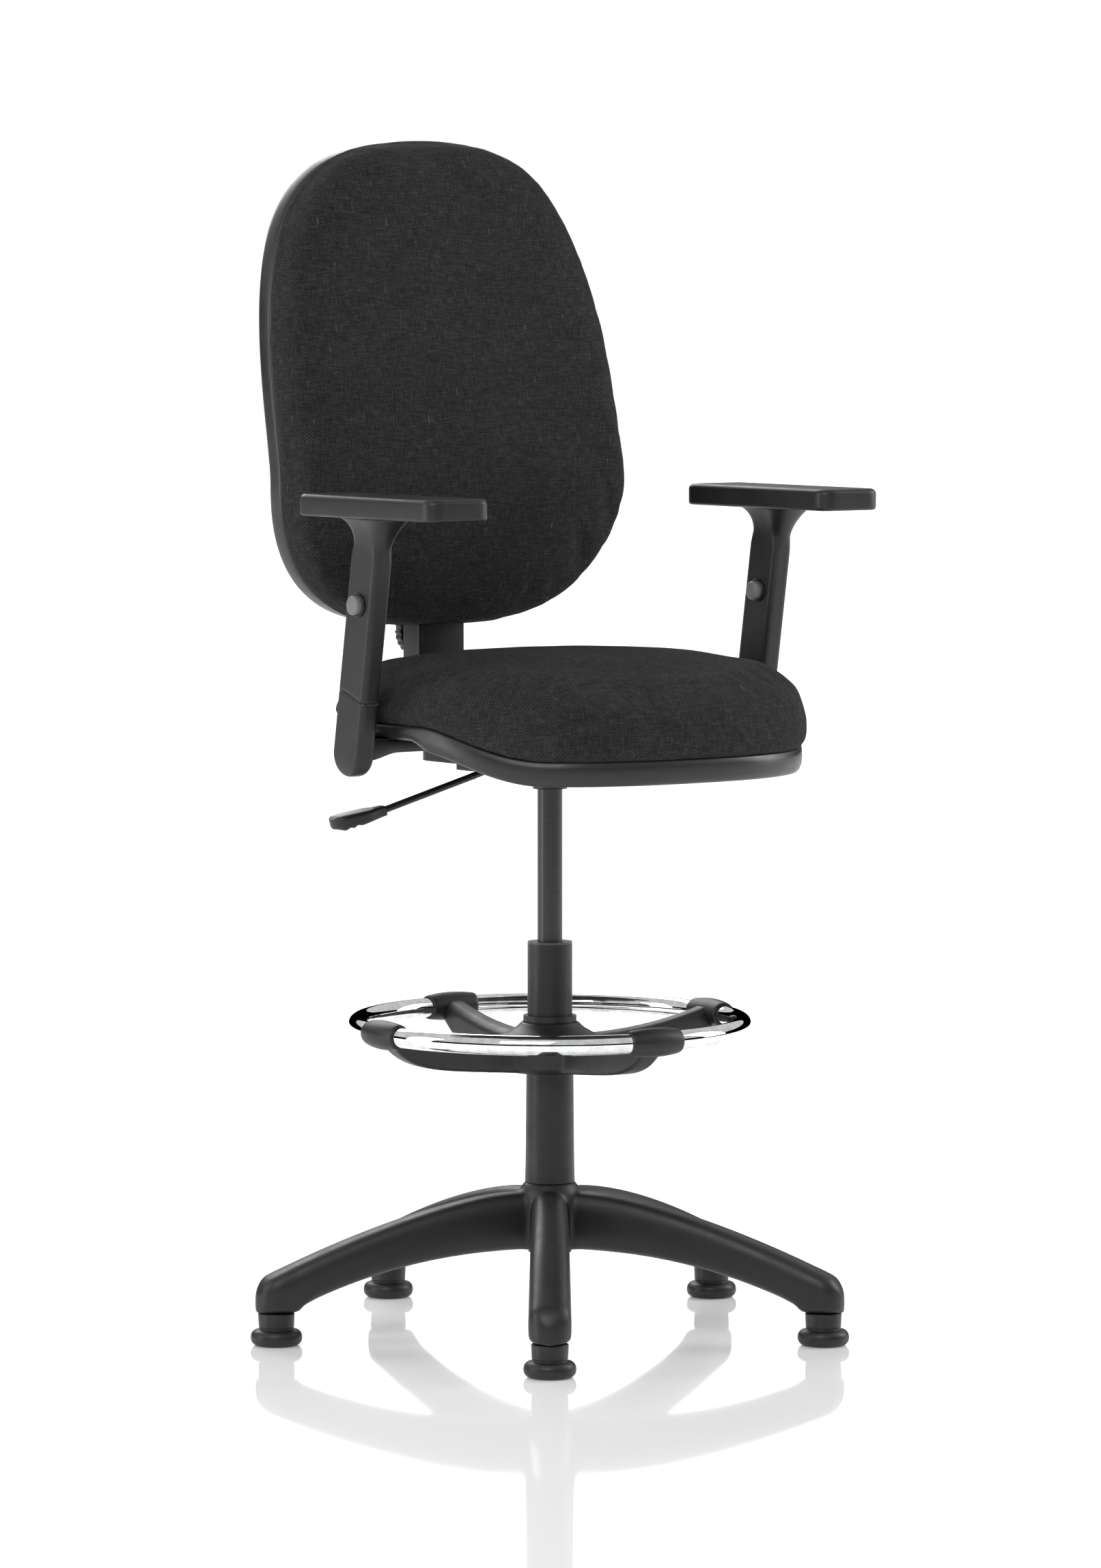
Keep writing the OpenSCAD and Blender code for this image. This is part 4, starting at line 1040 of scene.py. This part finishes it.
def leg_mesh():
    """One leg along +X, from inside the hub to its boss."""
    rings = []
    angles = np.linspace(0, 2 * math.pi, 40, endpoint=False)
    stations = list(np.linspace(0.030, 0.285, 22)) + list(np.linspace(0.289, FOOT_R, 9))
    stations += [FOOT_R + LEG_END_HALF * math.sin(a) for a in np.linspace(0.12, 1.53, 12)]
    for r in stations:
        top, low, half = leg_lines(r)
        if r > FOOT_R:
            share = (r - FOOT_R) / LEG_END_HALF
            half = LEG_END_HALF * math.sqrt(max(1 - share**2, 0.0004))
            top = top - 0.022 * share**2.6
        mid, tall = (top + low) / 2, (top - low) / 2
        bottom_round = mix(3.2, 9.0, ease((r - 0.275) / 0.02))
        y = half * power(np.cos(angles), 3.4)
        z = np.where(
            np.sin(angles) > 0,
            mid + tall * power(np.sin(angles), 2.5),
            mid + tall * power(np.sin(angles), bottom_round),
        )
        rings.append(np.column_stack([np.full(40, r), y, z]))
    return skin(rings)


class CHAIR_OT_base(bpy.types.Operator):
    """Builds the five-leg base"""

    bl_idname = "chair.base"
    bl_label = "Base"

    def execute(self, context):
        bore = 0.0252
        hub = turned(
            [
                (bore, HUB_LOW),
                (HUB_R + 0.001, HUB_LOW),
                (HUB_R + 0.004, HUB_LOW + 0.008),
                (HUB_R + 0.003, HUB_TOP - 0.022),
                (HUB_R + 0.0005, HUB_TOP - 0.010),
                (HUB_R - 0.0055, HUB_TOP),
                (bore, HUB_TOP),
            ],
            closed=True,
        )
        leg = leg_mesh()
        legs = [placed(leg, Matrix.Rotation(leg_turn(k), 4, "Z")) for k in range(5)]
        obj = new_object("base_moulding", join(hub, *legs))
        melt(obj, 0.0026, 9)
        finish_piece(obj, "base", finish("moulded_nylon"), ["base_star"])
        return {"FINISHED"}


class CHAIR_OT_glides(bpy.types.Operator):
    """Builds the five glides"""

    bl_idname = "chair.glides"
    bl_label = "Glides"

    def execute(self, context):
        profile = [
            (0, 0.0006),
            (0.0215, 0.0006),
            (0.0225, 0),
            (0.0248, 0.0008),
            (0.0278, 0.0038),
            (0.02875, 0.0085),
            (0.0279, 0.0128),
            (0.0252, 0.0162),
            (0.0222, 0.0172),
            (0.0194, 0.0178),
            (0.0191, 0.0190),
            (0.0196, 0.0204),
            (0.0203, 0.0348),
            (0.0196, 0.0359),
            (0, 0.0359),
        ]
        for k in range(5):
            turn = leg_turn(k)
            where = Matrix.Translation((FOOT_R * math.cos(turn), FOOT_R * math.sin(turn), 0))
            foot = turned(rounded_profile(profile, 0.0016), 72)
            obj = new_object(f"glide_foot_{k + 1}", placed(foot, where))
            finish_piece(obj, "base", finish("moulded_nylon"), [f"glide_{k + 1}"])
        return {"FINISHED"}


# --- Foot ring ---

RING_R = 0.215
RING_TUBE = 0.011
RING_TURN = -4
RING_HUB_DROP = 0.052
RING_HUB_TALL = 0.0556


def ring_height():
    """Height of the foot ring's middle."""
    return middle("foot_ring").z


def spider_arm_mesh():
    """One arm of the ring's hub along +X, dished, with a chamfered upper edge."""
    low_z = ring_height() - RING_HUB_DROP
    # Half of the section from its foot up, as shares of the half width and half height
    half_section = [(0.84, -1), (1, -0.86), (1, 0.55), (0.93, 0.75), (0.55, 1)]
    mirrored = [(-x, z) for x, z in reversed(half_section)]
    section = even(np.array(mirrored[-2:] + half_section + mirrored[:-2]), 40)
    rings = []
    for u in np.linspace(0, 1, 26):
        r = mix(0.034, 0.2125, u)
        v = np.clip((r - 0.040) / 0.175, 0, 1)
        low = low_z + 0.014 * v + 0.031 * v**7
        top = low_z + 0.038 + 0.026 * v**2.2
        half = mix(0.0185, 0.0135, ease(v)) + 0.004 * ease((0.07 - r) / 0.04)
        mid, tall = (top + low) / 2, (top - low) / 2
        y, z = section[:, 0] * half, mid + section[:, 1] * tall
        rings.append(np.column_stack([np.full(40, r), y, z]))
    return skin(rings)


class CHAIR_OT_ring_hub(bpy.types.Operator):
    """Builds the hub that carries the foot ring"""

    bl_idname = "chair.ring_hub"
    bl_label = "Ring Hub"

    def execute(self, context):
        low_z = ring_height() - RING_HUB_DROP
        top_z = low_z + RING_HUB_TALL
        bore = 0.0287
        bell = turned(
            [
                (bore, low_z),
                (0.050, low_z),
                (0.0585, low_z + 0.006),
                (0.0625, low_z + 0.031),
                (0.0600, low_z + 0.0365),
                (0.0480, low_z + 0.0425),
                (0.0385, low_z + 0.0480),
                (0.0330, low_z + 0.0530),
                (0.0315, top_z),
                (bore, top_z),
            ],
            128,
            closed=True,
        )
        arm = spider_arm_mesh()
        arms = [
            placed(arm, Matrix.Rotation(math.radians(RING_TURN + 90 * k), 4, "Z"))
            for k in range(4)
        ]
        obj = new_object("ring_hub", join(bell, *arms))
        melt(obj, 0.0020, 5)
        finish_piece(obj, "foot_rest", finish("moulded_nylon"), ["ring_spider"])
        return {"FINISHED"}


class CHAIR_OT_ring(bpy.types.Operator):
    """Builds the chromed foot ring"""

    bl_idname = "chair.ring"
    bl_label = "Foot Ring"

    def execute(self, context):
        circle = [
            (RING_R + RING_TUBE * math.cos(a), ring_height() + RING_TUBE * math.sin(a))
            for a in np.linspace(0, 2 * math.pi, 48, endpoint=False)
        ]
        obj = new_object("ring_tube", turned(circle, 320, closed=True))
        finish_piece(obj, "foot_rest", finish("chrome_plate"), ["foot_ring"])
        return {"FINISHED"}


class CHAIR_OT_ring_clips(bpy.types.Operator):
    """Builds the four clips that hold the ring"""

    bl_idname = "chair.ring_clips"
    bl_label = "Ring Clips"

    def execute(self, context):
        half = 0.031
        inner = RING_TUBE + 0.0002
        # (place along the clip, wall): a lip at each end, and thickest in the middle
        lip = [(1.0, 0.0), (1.0, 0.0014), (0.985, 0.0021), (0.94, 0.0026)]
        shape = [(-s, wall) for s, wall in lip]
        for s in np.linspace(-0.86, 0.86, 17):
            shape.append((s, 0.0023 + 0.0026 * math.cos(s * math.pi / 2) ** 0.8))
        shape += lip[::-1]
        angles = np.linspace(0, 2 * math.pi, 56, endpoint=False)
        for k in range(4):
            start = math.radians(RING_TURN + 90 * k)
            rings = []
            for s, wall in shape + [(0.98, -0.0002), (-0.98, -0.0002)]:
                turn = start + s * half / RING_R
                radius = inner + wall
                reach = RING_R + radius * np.cos(angles)
                z = ring_height() + radius * np.sin(angles)
                rings.append(np.column_stack([reach * math.cos(turn), reach * math.sin(turn), z]))
            rings.append(rings[0])
            obj = new_object(f"ring_grip_{k + 1}", skin(rings, caps=(False, False)))
            # The frame's clips are numbered from +Y, a quarter turn on from +X
            clip = f"ring_clip_{(k + 3) % 4 + 1}"
            finish_piece(obj, "foot_rest", finish("moulded_nylon"), [clip])
        return {"FINISHED"}


# --- Arms ---


ARM_RAKE = math.radians(9.4)
POST_W = 0.024
POST_L = 0.050
PAD_LOW = 0.919
# Front-to-back place and height of the post's foot
ARM_FOOT = (-0.012, 0.660)
SLEEVE_LOW = 0.636
POST_CORNER = 0.0062


def arm_x(side):
    """Sideways place of an arm post's middle, from the bracket that stands in it."""
    low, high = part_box("arm_bracket_right" if side < 0 else "arm_bracket_left")
    return (low.x + 0.004) if side < 0 else (high.x - 0.004)


def post_frame(side):
    """Places a piece on the raked axis of an arm post."""
    return Matrix.Translation((arm_x(side), ARM_FOOT[0], ARM_FOOT[1])) @ Matrix.Rotation(
        ARM_RAKE, 4, "X"
    )


def seam_wave(x, y):
    """Height of the wavy seam between the sleeve and the post, along the post."""
    along = 0.0032 * np.sin(y / (POST_L / 2) * math.pi * 0.55 + 0.5)
    return 0.0649 + along - 0.001 * np.cos(x / (POST_W / 2) * 1.5)


def post_mesh():
    """Upright arm post with a trumpet head, in the post's own frame."""
    height = (PAD_LOW - ARM_FOOT[1]) / math.cos(ARM_RAKE)
    count = 72
    base = even(block_outline(POST_W / 2, POST_L / 2, POST_CORNER, 64), count)
    rings = []
    lean = math.tan(ARM_RAKE)
    for h in np.linspace(0, 1, 9):
        z = seam_wave(base[:, 0], base[:, 1]) + 0.0005 + h * 0.03
        rings.append(np.column_stack([base, z]))
    head = 0.048
    for z in np.linspace(0.10, height - head, 12):
        rings.append(np.column_stack([base, np.full(count, z)]))
    for u in np.linspace(0.03, 1, 22):
        z = height - head + head * u
        grow = u**3.2
        wide = POST_W / 2 + 0.0145 * grow
        long = POST_L / 2 + 0.0225 * grow
        corner = mix(POST_CORNER, 0.0255, ease(u))
        ring = even(block_outline(wide, long, min(corner, wide * 0.98), 64), count)
        # The rim lies level under the pad, so it tilts back against the rake
        level = z - ring[:, 1] * lean * grow
        rings.append(np.column_stack([ring, level]))
    return skin(rings)


def sleeve_mesh(side):
    """Arm sleeve with a rounded lower end; the beam that carries it to the seat is built by beam_mesh.
    """
    count = 72
    base = even(block_outline(POST_W / 2, POST_L / 2, POST_CORNER, 64), count)
    low = (SLEEVE_LOW - ARM_FOOT[1]) / math.cos(ARM_RAKE)
    rings = []
    for u in np.linspace(0.02, 1, 20):
        angle = u * math.pi / 2
        shrink = math.sin(angle)
        z = low + POST_L / 2 * (1 - math.cos(angle))
        flat = 1 - (1 - shrink) * 0.55
        ring = base * [flat, shrink]
        rings.append(np.column_stack([ring, np.full(count, z)]))
    for h in np.linspace(0.08, 1, 14):
        z = mix(low + POST_L / 2, seam_wave(base[:, 0], base[:, 1]), h)
        rings.append(np.column_stack([base, z]))
    return placed(skin(rings), post_frame(side))


def beam_mesh(side):
    """Beam from a sleeve in under the seat."""
    inner = side * 0.182
    outer = arm_x(side) - side * (POST_W / 2 - 0.004)
    rings = []
    half_tall = 0.0075
    outline = even(block_outline(0.024, half_tall, 0.005, 40), 48)
    for u in np.linspace(0, 1, 14):
        x = mix(inner, outer, u)
        tall = 1 + 0.5 * ease((u - 0.55) / 0.45)
        z = 0.6687 + outline[:, 1] * tall - half_tall * (tall - 1)
        rings.append(np.column_stack([np.full(48, x), ARM_FOOT[0] + outline[:, 0], z]))
    return skin(rings)


def pad_mesh(node):
    """Arm pad with rolled edges and a faint crown."""
    low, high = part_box(node)
    centre = (low + high) / 2
    half_w, half_l = (high.x - low.x) / 2, (high.y - low.y) / 2
    tall = high.z - low.z
    lower, upper, crown = 0.0035, 0.0060, 0.0006
    # (inset, height), from the underside's roll up to the crown
    levels = [
        (lower * (1 - math.sin(a)), lower * (1 - math.cos(a)))
        for a in np.linspace(0.15, math.pi / 2, 7)
    ]
    levels.append((0.0, tall * 0.45))
    levels += [
        (upper * (1 - math.cos(a)), tall - crown - upper * (1 - math.sin(a)))
        for a in np.linspace(0, math.pi / 2, 9)
    ]
    levels += [(0.014, tall - crown / 2), (0.028, tall)]
    rings = []
    for inset, z in levels:
        corner = max(0.0145 - inset, 0.004)
        ring = even(block_outline(half_w - inset, half_l - inset, corner, 96), 128)
        x, y = ring[:, 0] + centre.x, ring[:, 1] + centre.y - AXIS_Y
        rings.append(np.column_stack([x, y, np.full(128, low.z + z)]))
    return skin(rings)


class CHAIR_OT_arms(bpy.types.Operator):
    """Builds the arm sleeves, posts, pads and buttons"""

    bl_idname = "chair.arms"
    bl_label = "Arms"

    def execute(self, context):
        # (radius, height out of the post's face)
        collar = turned(
            [
                (0.0110, 0), (0.0131, 0), (0.0130, 0.0022),
                (0.0122, 0.0031), (0.0113, 0.0031), (0.0110, 0.0027),
            ],
            64,
            closed=True,
        )
        cap = turned(
            [
                (0, -0.0028), (0.0107, -0.0028), (0.0107, 0.0076), (0.0102, 0.0089),
                (0.0088, 0.0096), (0.005, 0.0099), (0, 0.01),
            ],
            64,
        )
        turn = Matrix.Rotation(ARM_RAKE, 4, "X") @ Matrix.Rotation(-math.pi / 2, 4, "Y")
        for side, word in ((-1, "right"), (1, "left")):
            centre = middle(f"arm_button_{word}")
            face = arm_x(side) - POST_W / 2
            at = Matrix.Translation((face + 0.0004, centre.y - AXIS_Y, centre.z)) @ turn
            post = join(placed(post_mesh(), post_frame(side)), placed(collar, at))
            sleeve = join(sleeve_mesh(side), beam_mesh(side))
            catch = placed(cap, at)
            pad = pad_mesh(f"arm_pad_{word}")
            for name, mesh, body, material, slot, node in (
                ("arm_socket", sleeve, "seat", "moulded_nylon", "arm_nylon", "arm_sleeve"),
                ("arm_upright", post, f"arm_{word}", "moulded_nylon", "arm_nylon", "arm_post"),
                ("arm_catch", catch, f"button_{word}", "moulded_button", "button_plastic", "arm_button"),
                ("arm_rest", pad, f"arm_{word}", "skinned_polyurethane", "pad_polyurethane", "arm_pad"),
            ):
                obj = new_object(f"{name}_{word}", mesh)
                finish_piece(obj, body, finish(material), [f"{node}_{word}"])
        return {"FINISHED"}


# --- Lever, upright's cover and hand wheel ---


LEVER_SLOPE = 0.268


class CHAIR_OT_lever(bpy.types.Operator):
    """Builds the height lever's paddle"""

    bl_idname = "chair.lever"
    bl_label = "Lever"

    def execute(self, context):
        low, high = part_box("lever_paddle")
        slope = math.atan(LEVER_SLOPE)
        length = (high.x - low.x) / math.cos(slope) - 0.004
        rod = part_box("lever_rod")[0].z + 0.0036
        rod_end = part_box("lever_rod")[0].x
        inner_x = high.x - 0.0015
        inner = Vector((inner_x, 0, rod + (inner_x - rod_end) * LEVER_SLOPE))
        frame_turn = Matrix.Translation(inner) @ Matrix.Rotation(-slope, 4, "Y")
        count = 48
        outline = even(block_outline(1.0, 1.0, 0.45, 40), count)
        rings = []
        tip = 0.86
        stations = list(np.linspace(0, tip, 22))
        stations += [tip + (1 - tip) * math.sin(a) for a in np.linspace(0.15, 1.5, 10)]
        for u in stations:
            x = -length * u
            half = mix(0.0068, 0.0140, ease(u / 0.5))
            if u > 0.8:
                half *= math.sqrt(max(1 - ((u - 0.8) / 0.2) ** 2.4, 0.002))
            top = mix(0.0055, 0.0135, u) - 0.0025 * ease((u - 0.92) / 0.08)
            # Three hollows for the fingertips
            waves = 0.0018 * abs(math.sin(max(0, u - 0.55) / 0.45 * math.pi * 3))
            bottom = -mix(0.0060, 0.0045, u) + waves + 0.0045 * ease((u - 0.9) / 0.1)
            y = outline[:, 0] * half
            z = mix(bottom, top, (outline[:, 1] + 1) / 2)
            rings.append(np.column_stack([np.full(count, x), y, z]))
        obj = new_object("lever_grip", placed(skin(rings), frame_turn))
        finish_piece(obj, "lever", finish("moulded_nylon"), ["lever_paddle"])
        plate = []
        outline = egg(0.024, 0.0098, 0.0098, 3.2, 3.2, 3.2, 48)
        for shrink, lift in ((1.0, -0.0012), (1.0, 0.0003), (0.96, 0.0006)):
            x = -length * 0.55 + outline[:, 0] * shrink
            top = mix(0.0055, 0.0135, -x / length)
            plate.append(np.column_stack([x, outline[:, 1] * shrink, top + lift]))
        label = new_object("lever_label", placed(skin(plate), frame_turn))
        finish_piece(label, "lever", finish("printed_label"))
        return {"FINISHED"}


class CHAIR_OT_upright(bpy.types.Operator):
    """Builds the upright's plastic cover and the hand wheel"""

    bl_idname = "chair.upright"
    bl_label = "Upright"

    def execute(self, context):
        low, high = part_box("upright_cover")
        half, near, far = (high.x - low.x) / 2, low.y - AXIS_Y, high.y - AXIS_Y
        wall, front_wall = 0.003, 0.0125
        points = [(-half, far), (-half, near), (half, near), (half, far)]
        points += [(half - wall, far), (half - wall, near + front_wall)]
        points += [(-half + wall, near + front_wall), (-half + wall, far)]
        count = len(points)
        verts = [(x, y, z) for z in (low.z, high.z) for x, y in points]
        faces = [tuple(range(count - 1, -1, -1)), tuple(range(count, 2 * count))]
        faces += [(k, (k + 1) % count, count + (k + 1) % count, count + k) for k in range(count)]
        cover = new_object("upright_sheath", (verts, faces))
        soften(cover, 0.0022, 4, 40)
        settle(cover)
        smooth_by_angle(cover, 45)
        plastic = finish("moulded_polypropylene")
        finish_piece(cover, "upright", plastic, ["upright_cover"])

        low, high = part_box("hand_wheel")
        centre = (low + high) / 2
        thick = high.y - low.y
        lobes = 24
        angles = np.linspace(0, 2 * math.pi, lobes * 10, endpoint=False)
        wave = 0.5 + 0.5 * np.cos(angles * lobes)
        rings = []
        # (radius, share of the thickness, share of the grip lobes' depth)
        for reach, level, depth in (
            (0.0060, 0.125, 0), (0.0210, 0.125, 0), (0.0235, 0.050, 0), (0.0262, 0.000, 0.3),
            (0.0282, 0.100, 0.8), (0.0287, 0.250, 1), (0.0287, 0.750, 1), (0.0281, 14 / 15, 0.8),
            (0.0262, 1.000, 0.3), (0.0225, 0.975, 0), (0.0212, 53 / 60, 0), (0.0150, 5 / 6, 0),
            (0.0060, 5 / 6, 0),
        ):
            radius = reach - 0.0016 * depth * (1 - wave)
            x, z = centre.x + radius * np.cos(angles), centre.z + radius * np.sin(angles)
            y = np.full(len(angles), low.y - AXIS_Y + level * thick)
            rings.append(np.column_stack([x, y, z]))
        wheel = new_object("clamp_wheel", skin(rings))
        finish_piece(wheel, "wheel", finish("moulded_nylon"), ["hand_wheel"])
        return {"FINISHED"}


# --- Pieces whose CAD shape is right ---


KEPT = {
    "powder_coat": (
        "column_tube", "mechanism_housing", "mechanism_plate", "arm_bracket_right", "arm_bracket_left",
        "upright_bar", "back_carriage", "lever_rod",
    ),
    "moulded_nylon": ("column_cover", "ring_collet"),
    "moulded_acetal": ("guide_bush", "cylinder_guide"),
    "drawn_black_tube": ("gas_cylinder",),
    "zinc_plate": (
        "glide_stems", "piston_head", "rod_clip", "seat_bolts", "seat_tee_nuts", "arm_bolts",
        "release_pin", "back_screws", "clamp_stud",
    ),
    "ground_steel": (
        "bearing_race_lower", "bearing_race_upper", "bearing_balls", "piston_rod", "recline_pin",
        "recline_spring",
    ),
    "beech_ply": ("seat_board", "back_board"),
    "moulded_rubber": ("bump_stop",),
}
SOFTENED = {
    "mechanism_housing": 0.0012,
    "mechanism_plate": 0.0008,
    "upright_bar": 0.0012,
    "back_carriage": 0.0012,
    "arm_bracket_right": 0.0008,
    "arm_bracket_left": 0.0008,
}


class CHAIR_OT_frame_parts(bpy.types.Operator):
    """Gives the frame's own parts their finishes"""

    bl_idname = "chair.frame_parts"
    bl_label = "Frame Parts"

    def execute(self, context):
        for name, nodes in KEPT.items():
            for node in nodes:
                obj = NODES[node]
                obj.data.materials.clear()
                obj.data.materials.append(finish(name))
                if node in SOFTENED:
                    soften(obj, SOFTENED[node], 2, 35)
        return {"FINISHED"}


# --- Stage ---


class CHAIR_OT_stage(bpy.types.Operator):
    """Sets the floor, the lights and the camera"""

    bl_idname = "chair.stage"
    bl_label = "Stage"

    def execute(self, context):
        look = stage_settings()
        scene = context.scene
        wall_r, wall_h = 30.0, 8.0
        turns = np.linspace(0, 2 * math.pi, 96, endpoint=False)
        floor_r, floor_gap = wall_r - 0.01, 0.0004
        rim = [(floor_r * math.cos(a), floor_r * math.sin(a), 0) for a in turns]
        floor = new_object("floor", (rim, [tuple(range(len(rim)))]))
        floor.location.z = -floor_gap
        floor.data.materials.append(finish("polished_floor"))

        world = bpy.data.worlds.new("surround")
        world.use_nodes = True
        # White behind the chair, and dimmer where it lights the chair
        tree = world.node_tree
        tree.nodes.clear()
        seen = add(tree, "ShaderNodeLightPath").outputs["Is Camera Ray"]
        strength = add(
            tree, "ShaderNodeMapRange", {"Value": seen, "To Min": look.world, "To Max": 1.0}
        )
        light = add(tree, "ShaderNodeBackground", {"Color": (1, 1, 1, 1), "Strength": strength})
        add(tree, "ShaderNodeOutputWorld", {"Surface": light})
        scene.world = world

        # A low wall of light that only the floor sees, so the floor stays white to the horizon
        # while the chair has dark surroundings at its own height to reflect
        rings = [
            np.stack([wall_r * np.cos(turns), wall_r * np.sin(turns), np.full(96, z)], 1)
            for z in (0.0, wall_h)
        ]
        wall = new_object("light_wall", skin(rings, caps=(False, False)))
        glow = bpy.data.materials.new("wall_of_light")
        glow.use_nodes = True
        glow.node_tree.nodes.clear()
        light = add(glow.node_tree, "ShaderNodeEmission", {"Strength": look.wall})
        add(glow.node_tree, "ShaderNodeOutputMaterial", {"Surface": light})
        wall.data.materials.append(glow)
        wall.visible_camera = False
        wall.visible_shadow = False
        only_floor = bpy.data.collections.new("lit_by_the_wall")
        only_floor.objects.link(floor)
        wall.light_linking.receiver_collection = only_floor

        aim = Vector((0, AXIS_Y, 0.65))
        # (name, place from the column's axis, width and height, watts)
        for name, spot, size, watts in (
            ("key", (-3.2, -2.6, 3.6), (2.4, 2.4), look.key),
            ("side", (3.4, -1.2, 1.9), (1.4, 2.4), look.fill),
            ("rear", (0.8, 3.2, 2.6), (2.6, 1.6), look.fill),
            ("rim", (-3.4, 1.5, 1.4), (1.2, 2.8), look.rim),
        ):
            lamp = bpy.data.lights.new(name, "AREA")
            lamp.shape = "RECTANGLE"
            lamp.size, lamp.size_y = size
            lamp.energy = watts
            obj = bpy.data.objects.new(name, lamp)
            obj.location = Vector(spot) + Vector((0, AXIS_Y, 0))
            obj.rotation_euler = (aim - obj.location).to_track_quat("-Z", "Y").to_euler()
            scene.collection.objects.link(obj)

        # The camera stands on the sitter's right front, and looks a little down
        turn, down = math.radians(36.0), 0.07821
        distance, height = 7.768, 1.2231
        camera = bpy.data.cameras.new("camera")
        camera.sensor_fit = "VERTICAL"
        camera.sensor_height = 36.0
        camera.lens = 160.67
        camera.shift_x = 0.000392
        obj = bpy.data.objects.new("camera", camera)
        ahead = Vector((math.sin(turn), math.cos(turn), 0))
        obj.location = Vector((0, AXIS_Y, height)) - ahead * distance
        ahead = ahead * math.cos(down) - Vector((0, 0, math.sin(down)))
        obj.rotation_euler = ahead.to_track_quat("-Z", "Y").to_euler()
        scene.collection.objects.link(obj)
        scene.camera = obj
        scene.view_settings.view_transform = "Standard"
        return {"FINISHED"}


OPERATORS = (
    CHAIR_OT_frame_parts,
    CHAIR_OT_base,
    CHAIR_OT_glides,
    CHAIR_OT_ring_hub,
    CHAIR_OT_ring,
    CHAIR_OT_ring_clips,
    CHAIR_OT_shells,
    CHAIR_OT_arms,
    CHAIR_OT_lever,
    CHAIR_OT_upright,
    CHAIR_OT_seat_cushion,
    CHAIR_OT_back_cushion,
    CHAIR_OT_stage,
)


class CHAIR_PT_panel(bpy.types.Panel):
    """Lists the chair's settings and its pieces"""

    bl_idname = "CHAIR_PT_panel"
    bl_label = "Chair"
    bl_space_type = "VIEW_3D"
    bl_region_type = "UI"
    bl_category = "Chair"

    def draw(self, context):
        for group in (upholstery(), mouldings(), stage_settings()):
            box = self.layout.box()
            for key in group.bl_rna.properties.keys():
                if key not in {"rna_type", "name"}:
                    box.prop(group, key)
        for operator in OPERATORS:
            self.layout.operator(operator.bl_idname)


GROUPS = (
    ("chair_upholstery", ChairUpholstery),
    ("chair_mouldings", ChairMouldings),
    ("chair_stage", ChairStage),
)


def register():
    """Registers the settings, the operators and the panel."""
    for key, group in GROUPS:
        bpy.utils.register_class(group)
        setattr(bpy.types.Scene, key, bpy.props.PointerProperty(type=group))
    for operator in OPERATORS:
        bpy.utils.register_class(operator)
    bpy.utils.register_class(CHAIR_PT_panel)


def unregister():
    """Undoes register."""
    bpy.utils.unregister_class(CHAIR_PT_panel)
    for operator in reversed(OPERATORS):
        bpy.utils.unregister_class(operator)
    for key, group in reversed(GROUPS):
        delattr(bpy.types.Scene, key)
        bpy.utils.unregister_class(group)


def main():
    """Builds every piece."""
    register()
    for operator in OPERATORS:
        group, name = operator.bl_idname.split(".")
        getattr(getattr(bpy.ops, group), name)()


if __name__ == "__main__":
    main()
